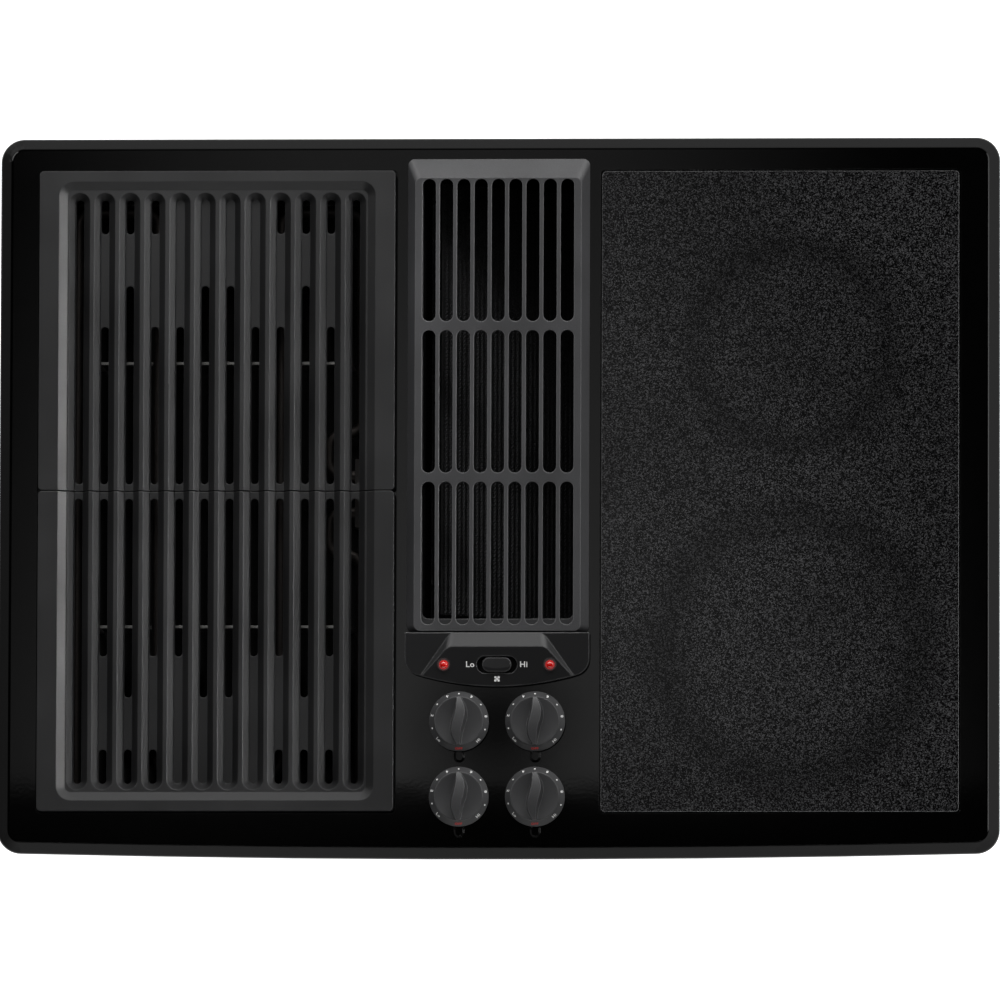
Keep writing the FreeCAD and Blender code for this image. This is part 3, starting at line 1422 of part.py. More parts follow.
def wheel_blades():
    """Curved blades between the ring and the back plate."""
    z0 = wheel_start() + WHEEL_RING
    inner = BLADE_INNER
    outer = WHEEL_RADIUS - BLADE_SHEET / 4
    middle = (inner + outer) / 2
    bulge = BLADE_CURVE / 3
    front = [Vector(inner, 0, z0), Vector(middle, bulge, z0), Vector(outer, BLADE_CURVE, z0)]
    back = [point + Vector(0, BLADE_SHEET, 0) for point in front]
    outline = Part.Wire(
        [
            Part.Arc(front[0], front[1], front[2]).toShape(),
            Part.makeLine(front[2], back[2]),
            Part.Arc(back[2], back[1], back[0]).toShape(),
            Part.makeLine(back[0], front[0]),
        ]
    )
    blade = raised(outline, WHEEL_WIDTH - WHEEL_RING - WHEEL_PLATE)
    blades = []
    for index in range(BLADE_COUNT):
        copy = blade.copy()
        copy.rotate(Vector(0, 0, 0), UP, 360 * index / BLADE_COUNT)
        blades.append(copy)
    return blower_place(Part.makeCompound(blades))


def motor_start():
    return housing_length()


def motor_shaft():
    z1 = wheel_start() + WHEEL_WIDTH
    end = motor_start() + MOTOR_FLANGE_SHEET + MOTOR_LENGTH - MOTOR_BELL
    return blower_place(post(MOTOR_SHAFT, 0, 0, z1 - WHEEL_HUB, end))


def blower_motor():
    """Motor on a flange that closes the housing's port, with a bore for its shaft."""
    z0 = motor_start()
    z1 = z0 + MOTOR_FLANGE_SHEET
    end = z1 + MOTOR_LENGTH
    shape = revolved(
        [
            (MOTOR_SHAFT + RUNNING_FIT, z0),
            (MOTOR_PORT + MOTOR_FLANGE, z0),
            (MOTOR_PORT + MOTOR_FLANGE, z1),
            (MOTOR_RADIUS, z1),
            (MOTOR_RADIUS, z1 + MOTOR_LENGTH / 3),
            (MOTOR_RADIUS + MOTOR_STACK, z1 + MOTOR_LENGTH / 3),
            (MOTOR_RADIUS + MOTOR_STACK, end - MOTOR_LENGTH / 3),
            (MOTOR_RADIUS, end - MOTOR_LENGTH / 3),
            (MOTOR_RADIUS, end - MOTOR_BELL),
            (MOTOR_RADIUS - MOTOR_BELL, end),
            (0, end),
            (0, end - MOTOR_BELL + RUNNING_FIT),
            (MOTOR_SHAFT + RUNNING_FIT, end - MOTOR_BELL + RUNNING_FIT),
        ]
    )
    return blower_place(shape)


def outlet_wire(grow, z):
    """Rectangle of the blower outlet, in the cooktop's own frame."""
    start = plenum_area()[1] + BLOWER_WALL
    wall = VOLUTE_STEP / 2 + VOLUTE_START + 2 * VOLUTE_STEP
    area = (start, start + BLOWER_WIDTH, blower_y + OUTLET_INNER, blower_y + wall)
    x0, x1, y0, y1 = grown(area, grow)
    corners = [Vector(x1, y1, z), Vector(x0, y1, z), Vector(x0, y0, z), Vector(x1, y0, z)]
    return Part.makePolygon(corners + corners[:1])


def collar_form(grow, overrun):
    """Outlet transition from a rectangle to a round collar."""
    z0 = outlet_end
    z1 = z0 - COLLAR_TRANSITION
    rectangle = outlet_wire(grow, z0)
    box = rectangle.BoundBox
    centre = Vector(box.Center.x, box.Center.y, z1)
    radius = COLLAR_RADIUS - COLLAR_WALL + grow
    quarters = [Part.makeCircle(radius, centre, UP, 45 + 90 * i, 135 + 90 * i) for i in range(4)]
    transition = Part.makeLoft([rectangle, Part.Wire(quarters)], True, True)
    pipe = Part.makeCylinder(radius, COLLAR_LENGTH + overrun, centre, Vector(0, 0, -1))
    return transition.fuse(pipe)


def exhaust_collar():
    return collar_form(COLLAR_WALL, 0).cut(collar_form(0, OVERCUT)).removeSplitter()


# Junction box and hold-downs


def junction_area():
    x0, x1, y0, y1 = box_area()
    left = x0 + JUNCTION_SIDE_MARGIN
    back = y1 - JUNCTION_BACK_MARGIN
    return (left, left + JUNCTION_LENGTH, back - JUNCTION_WIDTH, back)


def junction_box():
    """Open-bottomed wiring box under the burner box, with a round conduit hole."""
    top = box_floor - BOX_WALL
    floor = top - JUNCTION_DEPTH
    area = junction_area()
    shape = block(area, floor, top)
    inside = block(grown(area, -JUNCTION_WALL), floor - OVERCUT, top - JUNCTION_WALL)
    start = Vector(area[0] - OVERCUT, (area[2] + area[3]) / 2, (top + floor) / 2)
    knockout = Part.makeCylinder(KNOCKOUT_RADIUS, JUNCTION_WALL + 2 * OVERCUT, start, Vector(1, 0, 0))
    return shape.cut([inside, knockout])


def junction_box_cover():
    floor = box_floor - BOX_WALL - JUNCTION_DEPTH
    return block(junction_area(), floor - JUNCTION_WALL, floor)


def hold_down_wall(side):
    return box_area()[1] if side > 0 else box_area()[0]


def hold_down_brackets():
    """Angle brackets on the side walls of the burner box."""
    brackets = []
    for side in (-1, 1):
        wall = hold_down_wall(side)
        plate_x = wall + side * HOLD_DOWN_SHEET / 2
        plate = centred(plate_x, bay_centre_y, HOLD_DOWN_SHEET, HOLD_DOWN_WIDTH)
        shape = block(plate, HOLD_DOWN_Z, HOLD_DOWN_Z + HOLD_DOWN_HEIGHT)
        tab = centred(wall + side * HOLD_DOWN_REACH / 2, bay_centre_y, HOLD_DOWN_REACH, HOLD_DOWN_WIDTH)
        shape = shape.fuse(block(tab, HOLD_DOWN_Z, HOLD_DOWN_Z + HOLD_DOWN_SHEET))
        tab_top = HOLD_DOWN_Z + HOLD_DOWN_SHEET
        hole = post(CLAMP_RADIUS, clamp_x(side), bay_centre_y, HOLD_DOWN_Z - OVERCUT, tab_top + OVERCUT)
        brackets.append(shape.cut(hole).removeSplitter())
    return Part.makeCompound(brackets)


def clamp_x(side):
    return hold_down_wall(side) + side * (HOLD_DOWN_SHEET + HOLD_DOWN_REACH) / 2


def clamp_screws():
    """Upright clamp screws that press a pad up against the countertop."""
    screws = []
    for side in (-1, 1):
        x = clamp_x(side)
        shape = post(CLAMP_RADIUS, x, bay_centre_y, HOLD_DOWN_Z - CLAMP_HEAD_HEIGHT, -COUNTER_THICKNESS)
        shape = shape.fuse(post(CLAMP_HEAD, x, bay_centre_y, HOLD_DOWN_Z - CLAMP_HEAD_HEIGHT, HOLD_DOWN_Z))
        pad = post(CLAMP_PAD, x, bay_centre_y, -COUNTER_THICKNESS - CLAMP_PAD_HEIGHT, -COUNTER_THICKNESS)
        screws.append(shape.fuse(pad).removeSplitter())
    return Part.makeCompound(screws)


def pieces():
    """Every piece of the cooktop as (name, shape)."""
    yield "main_top", main_top()
    yield "rim_gasket", rim_gasket()
    yield "burner_box", burner_box()
    yield "left_basin", basin(-1)
    yield "right_basin", basin(1)
    yield "rear_grill_grate", rear_grill_grate()
    yield "front_grill_grate", front_grill_grate()
    yield "grill_element", grill_element()
    yield "element_terminal_block", element_terminal_block()
    yield "element_straps", element_straps()
    yield "drip_pan", drip_pan()
    yield "left_receptacle", receptacle(-1)
    yield "right_receptacle", receptacle(1)
    yield "glass_panel", glass_panel()
    yield "cartridge_frame", cartridge_frame()
    yield "cartridge_pan", cartridge_pan()
    yield "cartridge_plug", cartridge_plug()
    for name, radius, centre in heaters():
        yield f"{name}_heater_dish", heater_dish(radius, centre)
    yield "heater_lamps", heater_lamps()
    yield "heater_limiters", heater_limiters()
    yield "air_grille", air_grille()
    yield "vent_plenum", vent_plenum()
    yield "filter_frame", filter_frame()
    yield "filter_mesh", filter_mesh()
    yield "console_shell", console_shell()
    yield "signal_lenses", signal_lenses()
    yield "signal_lamps", signal_lamps()
    yield "fan_switch_body", fan_switch_body()
    yield "fan_rocker", fan_rocker()
    for name, x, y in knob_places():
        yield f"{name}_knob", knob(x, y)
        yield f"{name}_shaft", knob_shaft(x, y)
        yield f"{name}_collar", spring_collar(x, y)
        yield f"{name}_switch", heat_switch(x, y)
    yield "control_bracket", control_bracket()
    yield "switch_nuts", switch_nuts()
    yield "blower_housing", blower_housing()
    yield "blower_inlet_ring", blower_inlet_ring()
    yield "blower_wheel", blower_wheel()
    yield "wheel_ring", wheel_ring()
    yield "wheel_blades", wheel_blades()
    yield "motor_shaft", motor_shaft()
    yield "blower_motor", blower_motor()
    yield "exhaust_collar", exhaust_collar()
    yield "junction_box", junction_box()
    yield "junction_box_cover", junction_box_cover()
    yield "hold_down_brackets", hold_down_brackets()
    yield "clamp_screws", clamp_screws()


def main():
    os.makedirs("parts", exist_ok=True)
    for name, shape in pieces():
        print(f"{name}: {len(shape.Solids)} solids, {shape.Volume:.0f} mm3, valid {shape.isValid()}")
        shape.exportStep(f"parts/{name}.step")


main()
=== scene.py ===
import json
import math

import bmesh
import bpy
from mathutils import Matrix, Vector


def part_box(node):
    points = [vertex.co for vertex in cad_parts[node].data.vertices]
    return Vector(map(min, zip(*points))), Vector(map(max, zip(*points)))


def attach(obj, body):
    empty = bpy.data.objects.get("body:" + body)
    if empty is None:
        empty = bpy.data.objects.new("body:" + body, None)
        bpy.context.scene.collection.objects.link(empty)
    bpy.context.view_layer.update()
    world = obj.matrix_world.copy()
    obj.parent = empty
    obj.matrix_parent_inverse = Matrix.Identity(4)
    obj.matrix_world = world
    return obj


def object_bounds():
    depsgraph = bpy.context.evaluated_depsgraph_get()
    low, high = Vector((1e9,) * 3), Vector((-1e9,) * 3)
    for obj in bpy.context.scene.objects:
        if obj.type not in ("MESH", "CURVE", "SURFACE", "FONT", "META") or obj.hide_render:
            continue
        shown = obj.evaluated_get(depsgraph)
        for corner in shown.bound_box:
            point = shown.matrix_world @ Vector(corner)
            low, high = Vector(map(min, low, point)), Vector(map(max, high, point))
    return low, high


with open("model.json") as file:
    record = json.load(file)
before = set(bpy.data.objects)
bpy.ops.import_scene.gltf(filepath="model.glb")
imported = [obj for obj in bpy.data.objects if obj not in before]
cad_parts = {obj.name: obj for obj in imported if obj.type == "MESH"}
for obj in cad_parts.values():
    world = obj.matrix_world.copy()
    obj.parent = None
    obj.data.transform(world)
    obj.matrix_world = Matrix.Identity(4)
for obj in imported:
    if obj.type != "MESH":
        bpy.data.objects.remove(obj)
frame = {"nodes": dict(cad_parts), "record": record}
cad_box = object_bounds()
nodes = frame["nodes"]

MM = 0.001
WHITE = (1, 1, 1, 1)

# Camera: almost straight down, from a little to the front and right
PIXEL = 0.7566 * MM
IMAGE_PIXELS = 1000
CAMERA_DISTANCE = 12.0
CAMERA_FORWARD = math.radians(5.0)
CAMERA_RIGHT = math.radians(3.0)
CAMERA_ROLL = math.radians(0.2)
CAMERA_REACH = 100
AIM_X = 1.4 * MM
AIM_Y = -2.2 * MM
SENSOR = 36.0

# Floor and room: white to the camera, and less to what mirrors them
FLOOR_SIZE = 120.0
FLOOR_GAP = 1 * MM
ROOM_WHITE = 0.5
CEILING_GREY = 0.005
WALL_TOP = 0.15
CEILING_START = 0.32
ROOM_LEFT_X = -0.9
ROOM_LEFT_SHARE = 0.3

# Ceiling panel that the deck mirrors
PANEL_HEIGHT = 1.2
PANEL_CENTRE_X = -0.06
PANEL_BACK_HALF = 0.42
PANEL_FRONT_HALF = 0.56
PANEL_FRONT_GAP = 33 * MM
PANEL_BACK_RUN = 0.4
PANEL_BACK_GREY = 0.26
PANEL_FRONT_GREY = 0.6
PANEL_PLATEAU = 0.1
PANEL_SPOT_Y = -0.19
PANEL_SPOT = 0.1
PANEL_SPOT_SHARE = 0.05

# Lamps: name, place, width, height and watts
REAR_LAMPS = (("rear_softbox", (0.0, 2.0, 2.4), 4.4, 2.5, 60),
              ("rear_strip", (0.3, 2.2, 1.6), 3.6, 0.8, 50))
OTHER_LAMPS = (("left_softbox", (-1.9, 1.4, 1.5), 1.4, 1.2, 14),
               ("right_softbox", (2.2, 0.6, 1.2), 2.0, 1.0, 14),
               ("front_strip", (0.1, -2.2, 1.2), 2.4, 0.4, 12))
MIRRORS = ("main_top", "glass_panel", "left_basin", "right_basin", "drip_pan")

# Strip with a grid that rakes the grates from the right
STRIP_WIDTH = 0.75
STRIP_HEIGHT = 0.1
STRIP_WATTS = 0.28
STRIP_ELEVATION = math.radians(25.0)
STRIP_DISTANCE = 1.2
STRIP_SPREAD = 8

# Printed legends
KNOBS = ("rear_left", "rear_right", "front_left", "front_right")
KNOB_NUMBERS = (("Lo", 222), ("2", 168), ("4", 115), ("6", 63), ("8", 10), ("Hi", -45))
KNOB_DOTS = (90, 37, -18, 195, 142)
KNOB_OFF = -90
KNOB_LEGEND_RADIUS = 20.8 * MM
KNOB_DOT_RADIUS = 0.7 * MM
KNOB_LETTER = 3.6 * MM
KNOB_WORD = 3.0 * MM
CONSOLE_LETTER = 6.1 * MM
CONSOLE_WORD_OFFSET = 20.3 * MM
FAN_SIGN_DROP = 10.6 * MM
FAN_HUB_RADIUS = 0.8 * MM
FAN_BLADE_RADIUS = 0.95 * MM
FAN_BLADE_OFFSET = 1.7 * MM
DOT_SIDES = 16
LETTER_SPACING = 1.1
LETTER_STEPS = 3
INK_THICKNESS = 0.06 * MM
INK_BOLD = 0.1 * MM
ABOVE_ALL = 1.0

# Expanded metal of the filter
FILTER_TILT = math.radians(40.0)
FILTER_THICK = 8.0 * MM
FILTER_BORDER = 9.0 * MM
MESH_PITCH_X = 4.2 * MM
MESH_PITCH_Y = 3.0 * MM
MESH_STRAND = 0.7 * MM
MESH_LEAN = 0.35 * MM
MESH_SHEET = 0.2 * MM
MESH_LIFT = 3.3 * MM

# Colour sockets of a Mix node
MIX_FIRST, MIX_SECOND, MIX_RESULT = 6, 7, 2

# Finishes in general: where most of a noise's values lie, and the cosines at which an edge turns to its
# painted highlight
COATING_IOR = 1.5
EDGE_SAMPLES = 4
NOISE_LOW, NOISE_HIGH = 0.3, 0.7
HIGHLIGHT_STARTS, HIGHLIGHT_FULL = 0.97, 0.8

# Enamel: a short orange peel on a swell that is longer and higher
PEEL_MM = 2.6
SWELL_PEELS = 9
SWELL_HEIGHT = 4.0
ENAMEL_EDGE = 0.7 * MM

# Coated castings: grain, and clouds many grains wide
CLOUD_GRAINS = 60
GRAIN_LOW, GRAIN_HIGH = 0.12, 0.42
GRAIN_DEPTH = 0.06 * MM
SATIN_SMOOTHER, SATIN_ROUGHER = 0.05, 0.06
PLASTIC_BUMP = 0.5

# Dot print on the glass: size, cells left bare, contrast and clouds; zones in shares of their radius
PRINT_DOT_MM = 0.75
PRINT_BARE = 0.4
PRINT_CONTRAST = 1.5
PRINT_CLOUD_MM = 140
PRINT_THIN, PRINT_DENSE = 0.75, 1.15
ZONE_MARGIN = 10 * MM
ZONE_INSIDE, ZONE_OUTSIDE = 0.72, 1.3
ZONE_RING_SHARE = 0.6
GROUND_EDGE = 0.9 * MM

# Sheet, bare metal, fibre and lens
SPANGLE_MM = 9
SPANGLE_SMOOTH, SPANGLE_ROUGH = 0.32, 0.5
SHEET_EDGE = 0.8 * MM
METAL_EDGE = 0.2 * MM
STREAK_SMOOTHER, STREAK_ROUGHER = 0.8, 1.25
FLECK_DEPTH = 0.1 * MM
FLECK_BUMP = 0.4
LENS_DOME, LENS_SHADED_RING = 0.7, 0.78


def linear(hex_colour):
    """sRGB hex as the linear colour that shaders use."""
    channels = [int(hex_colour[i:i + 2], 16) / 255 for i in (1, 3, 5)]
    return tuple(c / 12.92 if c <= 0.04045 else ((c + 0.055) / 1.055) ** 2.4 for c in channels) + (1.0,)


def add(tree, kind, inputs=None, **settings):
    """Adds a shader node, sets its properties, and sets or links its inputs."""
    made = tree.nodes.new(kind)
    for name, value in settings.items():
        setattr(made, name, value)
    for name, value in (inputs or {}).items():
        if isinstance(value, bpy.types.NodeSocket):
            tree.links.new(value, made.inputs[name])
        else:
            made.inputs[name].default_value = value
    return made


def new_material(name, colour, roughness, metallic=0.0, **sockets):
    """A Principled material with its plain values set on the shader's own sockets."""
    made = bpy.data.materials.new(name)
    made.use_nodes = True
    shader = made.node_tree.nodes["Principled BSDF"]
    shader.inputs["Base Color"].default_value = linear(colour)
    shader.inputs["Roughness"].default_value = roughness
    shader.inputs["Metallic"].default_value = metallic
    for socket, value in sockets.items():
        shader.inputs[socket.replace("_", " ")].default_value = value
    return made, made.node_tree, shader


def cell(size_mm):
    """Texture scale that makes a feature of this many millimetres on Object coordinates."""
    return 1 / (size_mm * MM)


def porcelain_enamel(name, colour, roughness, peel_depth_mm):
    """Fired glass on steel: deep gloss, with an orange peel that ripples the edges of reflections."""
    made, tree, shader = new_material(name, colour, roughness, IOR=COATING_IOR)
    place = add(tree, "ShaderNodeTexCoord").outputs["Object"]
    peel = add(tree, "ShaderNodeTexNoise",
               {"Vector": place, "Scale": cell(PEEL_MM), "Detail": 1.0, "Roughness": 0.4})
    swell = add(tree, "ShaderNodeTexNoise",
                {"Vector": place, "Scale": cell(SWELL_PEELS * PEEL_MM), "Detail": 0.0})
    height = add(tree, "ShaderNodeMath",
                 {0: swell.outputs["Fac"], 1: SWELL_HEIGHT, 2: peel.outputs["Fac"]},
                 operation="MULTIPLY_ADD")
    edge = add(tree, "ShaderNodeBevel", {"Radius": ENAMEL_EDGE}, samples=EDGE_SAMPLES)
    bump = add(tree, "ShaderNodeBump",
               {"Height": height.outputs[0], "Distance": peel_depth_mm * MM, "Strength": 1.0,
                "Normal": edge.outputs["Normal"]})
    tree.links.new(bump.outputs["Normal"], shader.inputs["Normal"])
    return made


def painted_edge_highlight(tree, edge, colour, edge_highlight_colour):
    """Painted highlight: colour that turns paler where an edge's rounded normal leaves the flat one."""
    flat = add(tree, "ShaderNodeNewGeometry").outputs["True Normal"]
    turned = add(tree, "ShaderNodeVectorMath", {0: edge.outputs["Normal"], 1: flat},
                 operation="DOT_PRODUCT")
    share = add(tree, "ShaderNodeMapRange",
                {"Value": turned.outputs["Value"], "From Min": HIGHLIGHT_STARTS, "From Max": HIGHLIGHT_FULL})
    colours = add(tree, "ShaderNodeMix",
                  {"Factor": share.outputs[0], MIX_FIRST: colour, MIX_SECOND: linear(edge_highlight_colour)},
                  data_type="RGBA")
    return colours.outputs[MIX_RESULT]


def coated_casting(name, colour, pale, edge_highlight_colour, roughness, grain_mm, edge_mm):
    """Sprayed coating on a casting: satin, with a fine grain in tone and height, and a painted
    highlight along its edges.
    """
    made, tree, shader = new_material(name, colour, roughness, IOR=COATING_IOR)
    place = add(tree, "ShaderNodeTexCoord").outputs["Object"]
    grain = add(tree, "ShaderNodeTexNoise", {"Vector": place, "Scale": cell(grain_mm), "Detail": 2.0})
    cloud = add(tree, "ShaderNodeTexNoise",
                {"Vector": place, "Scale": cell(CLOUD_GRAINS * grain_mm), "Detail": 2.0})
    tone = add(tree, "ShaderNodeMath", {0: grain.outputs["Fac"], 1: cloud.outputs["Fac"]},
               operation="MULTIPLY")
    spread = add(tree, "ShaderNodeMapRange",
                 {"Value": tone.outputs[0], "From Min": GRAIN_LOW, "From Max": GRAIN_HIGH})
    colours = add(tree, "ShaderNodeMix",
                  {"Factor": spread.outputs[0], MIX_FIRST: linear(colour), MIX_SECOND: linear(pale)},
                  data_type="RGBA")
    wear = add(tree, "ShaderNodeMapRange",
               {"Value": cloud.outputs["Fac"], "From Min": NOISE_LOW, "From Max": NOISE_HIGH,
                "To Min": roughness - SATIN_SMOOTHER, "To Max": roughness + SATIN_ROUGHER})
    tree.links.new(wear.outputs[0], shader.inputs["Roughness"])
    edge = add(tree, "ShaderNodeBevel", {"Radius": edge_mm * MM}, samples=EDGE_SAMPLES)
    # The edges get a painted highlight in a paler colour
    tree.links.new(painted_edge_highlight(tree, edge, colours.outputs[MIX_RESULT], edge_highlight_colour),
                   shader.inputs["Base Color"])
    bump = add(tree, "ShaderNodeBump",
               {"Height": grain.outputs["Fac"], "Distance": GRAIN_DEPTH, "Strength": 1.0,
                "Normal": edge.outputs["Normal"]})
    tree.links.new(bump.outputs["Normal"], shader.inputs["Normal"])
    return made


def moulded_plastic(name, colour, edge_highlight_colour, roughness, grain_mm, grain_depth_mm, edge_mm):
    """Moulded thermoset: even colour with a fine spark-eroded grain, small edge radii, and a painted
    highlight along its edges.
    """
    made, tree, shader = new_material(name, colour, roughness, IOR=COATING_IOR)
    place = add(tree, "ShaderNodeTexCoord").outputs["Object"]
    grain = add(tree, "ShaderNodeTexNoise", {"Vector": place, "Scale": cell(grain_mm), "Detail": 1.0})
    edge = add(tree, "ShaderNodeBevel", {"Radius": edge_mm * MM}, samples=EDGE_SAMPLES)
    # The edges get a painted highlight in a paler colour
    tree.links.new(painted_edge_highlight(tree, edge, linear(colour), edge_highlight_colour), shader.inputs["Base Color"])
    bump = add(tree, "ShaderNodeBump",
               {"Height": grain.outputs["Fac"], "Distance": grain_depth_mm * MM,
                "Strength": PLASTIC_BUMP, "Normal": edge.outputs["Normal"]})
    tree.links.new(bump.outputs["Normal"], shader.inputs["Normal"])
    return made


def speckled_glass_ceramic():
    """Black glass-ceramic with a screened grey dot print, thinner round the two heating zones."""
    made, tree, shader = new_material("speckled_glass_ceramic", "#0b0b0c", roughness=0.22, IOR=1.54,
                                      Specular_IOR_Level=0.35)
    place = add(tree, "ShaderNodeTexCoord").outputs["Object"]
    # The print's dots are about 0.4 mm; they are drawn coarser, so that a pixel can show them
    dots = add(tree, "ShaderNodeTexVoronoi", {"Vector": place, "Scale": cell(PRINT_DOT_MM)},
               feature="F1")
    level = add(tree, "ShaderNodeSeparateColor", {"Color": dots.outputs["Color"]})
    speck = add(tree, "ShaderNodeMapRange",
                {"Value": level.outputs[0], "From Min": PRINT_BARE, "From Max": 1.0})
    sharp = add(tree, "ShaderNodeMath", {0: speck.outputs[0], 1: PRINT_CONTRAST}, operation="POWER")
    cloud = add(tree, "ShaderNodeTexNoise",
                {"Vector": place, "Scale": cell(PRINT_CLOUD_MM), "Detail": 1.0})
    density = add(tree, "ShaderNodeMapRange",
                  {"Value": cloud.outputs["Fac"], "From Min": NOISE_LOW, "From Max": NOISE_HIGH,
                   "To Min": PRINT_THIN, "To Max": PRINT_DENSE})
    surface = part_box("glass_panel")[1].z
    for dish in ("rear_heater_dish", "front_heater_dish"):
        low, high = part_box(dish)
        centre = (low + high) / 2
        zone = (high.x - low.x) / 2 - ZONE_MARGIN
        away = add(tree, "ShaderNodeVectorMath", {0: place, 1: (centre.x, centre.y, surface)},
                   operation="DISTANCE")
        ring = add(tree, "ShaderNodeMapRange",
                   {"Value": away.outputs["Value"], "From Min": ZONE_INSIDE * zone, "From Max": zone,
                    "To Min": 1.0, "To Max": ZONE_RING_SHARE}, interpolation_type="SMOOTHSTEP")
        fade = add(tree, "ShaderNodeMapRange",
                   {"Value": away.outputs["Value"], "From Min": zone, "From Max": ZONE_OUTSIDE * zone},
                   interpolation_type="SMOOTHSTEP")
        share = add(tree, "ShaderNodeMix",
                    {"Factor": fade.outputs[0], "A": ring.outputs[0], "B": 1.0})
        density = add(tree, "ShaderNodeMath", {0: density.outputs[0], 1: share.outputs[0]},
                      operation="MULTIPLY")
    amount = add(tree, "ShaderNodeMath", {0: sharp.outputs[0], 1: density.outputs[0]},
                 operation="MULTIPLY")
    colours = add(tree, "ShaderNodeMix",
                  {"Factor": amount.outputs[0], MIX_FIRST: linear("#010102"),
                   MIX_SECOND: linear("#737375")}, data_type="RGBA")
    # The ground edge of the panel gets a painted highlight, a pale line
    edge = add(tree, "ShaderNodeBevel", {"Radius": GROUND_EDGE}, samples=EDGE_SAMPLES)
    tree.links.new(painted_edge_highlight(tree, edge, colours.outputs[MIX_RESULT], "#d6d6d8"),
                   shader.inputs["Base Color"])
    tree.links.new(edge.outputs["Normal"], shader.inputs["Normal"])
    return made


def galvanised_sheet():
    """Hot-dip zinc on steel: dull metal with flat spangles of different brightness."""
    made, tree, shader = new_material("galvanised_sheet", "#b5b8ba", roughness=0.42, metallic=1.0)
    place = add(tree, "ShaderNodeTexCoord").outputs["Object"]
    spangle = add(tree, "ShaderNodeTexVoronoi", {"Vector": place, "Scale": cell(SPANGLE_MM)},
                  feature="F1")
    level = add(tree, "ShaderNodeSeparateColor", {"Color": spangle.outputs["Color"]})
    colours = add(tree, "ShaderNodeMix",
                  {"Factor": level.outputs[0], MIX_FIRST: linear("#9fa3a6"),
                   MIX_SECOND: linear("#c3c6c8")}, data_type="RGBA")
    tree.links.new(colours.outputs[MIX_RESULT], shader.inputs["Base Color"])
    rough = add(tree, "ShaderNodeMapRange",
                {"Value": level.outputs[1], "To Min": SPANGLE_SMOOTH, "To Max": SPANGLE_ROUGH})
    tree.links.new(rough.outputs[0], shader.inputs["Roughness"])
    edge = add(tree, "ShaderNodeBevel", {"Radius": SHEET_EDGE}, samples=EDGE_SAMPLES)
    tree.links.new(edge.outputs["Normal"], shader.inputs["Normal"])
    return made


def drawn_metal(name, colour, roughness, streak_mm):
    """Bare metal with a drawn finish: faint streaks in its roughness and small edge radii."""
    made, tree, shader = new_material(name, colour, roughness, metallic=1.0)
    place = add(tree, "ShaderNodeTexCoord").outputs["Object"]
    streak = add(tree, "ShaderNodeTexNoise", {"Vector": place, "Scale": cell(streak_mm), "Detail": 3.0})
    rough = add(tree, "ShaderNodeMapRange",
                {"Value": streak.outputs["Fac"], "From Min": NOISE_LOW, "From Max": NOISE_HIGH,
                 "To Min": STREAK_SMOOTHER * roughness, "To Max": STREAK_ROUGHER * roughness})
    tree.links.new(rough.outputs[0], shader.inputs["Roughness"])
    edge = add(tree, "ShaderNodeBevel", {"Radius": METAL_EDGE}, samples=EDGE_SAMPLES)
    tree.links.new(edge.outputs["Normal"], shader.inputs["Normal"])
    return made


def pressed_fibre(name, colour, pale, roughness, fleck_mm):
    """Unglazed ceramic or packed fibre: chalky, with soft flecks."""
    made, tree, shader = new_material(name, colour, roughness)
    place = add(tree, "ShaderNodeTexCoord").outputs["Object"]
    fleck = add(tree, "ShaderNodeTexNoise", {"Vector": place, "Scale": cell(fleck_mm), "Detail": 3.0})
    colours = add(tree, "ShaderNodeMix",
                  {"Factor": fleck.outputs["Fac"], MIX_FIRST: linear(colour), MIX_SECOND: linear(pale)},
                  data_type="RGBA")
    tree.links.new(colours.outputs[MIX_RESULT], shader.inputs["Base Color"])
    bump = add(tree, "ShaderNodeBump",
               {"Height": fleck.outputs["Fac"], "Distance": FLECK_DEPTH, "Strength": FLECK_BUMP})
    tree.links.new(bump.outputs["Normal"], shader.inputs["Normal"])
    return made


def signal_red():
    """Clear red acrylic under a hard gloss: a bright dome in a deep red ring of painted shade, which
    stands for the faceted rim's dark look.
    """
    made, tree, shader = new_material("red_acrylic", "#d3120f", roughness=0.12, IOR=1.49,
                                      Coat_Weight=1.0, Coat_Roughness=0.03)
    low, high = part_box("signal_lenses")
    radius = (high.y - low.y) / 2
    place = add(tree, "ShaderNodeTexCoord").outputs["Object"]
    # Folded about the middle, the two lenses share one centre
    folded = add(tree, "ShaderNodeVectorMath", {0: place}, operation="ABSOLUTE")
    from_lens = add(tree, "ShaderNodeVectorMath",
                    {0: folded.outputs["Vector"], 1: (high.x - radius, -(low.y + radius), 0)},
                    operation="SUBTRACT")
    flat = add(tree, "ShaderNodeVectorMath", {0: from_lens.outputs["Vector"], 1: (1, 1, 0)},
               operation="MULTIPLY")
    away = add(tree, "ShaderNodeVectorMath", {0: flat.outputs["Vector"]}, operation="LENGTH")
    # The rim's ring is painted deep red: painted shade for its facets
    ring = add(tree, "ShaderNodeMapRange",
               {"Value": away.outputs["Value"], "From Min": LENS_DOME * radius,
                "From Max": LENS_SHADED_RING * radius})
    colours = add(tree, "ShaderNodeMix",
                  {"Factor": ring.outputs[0], MIX_FIRST: linear("#c00f0a"),
                   MIX_SECOND: linear("#3a0605")}, data_type="RGBA")
    tree.links.new(colours.outputs[MIX_RESULT], shader.inputs["Base Color"])
    return made


def ink(name, colour):
    """Screen ink or pad print: flat colour, nearly matte."""
    return new_material(name, colour, roughness=0.55)[0]


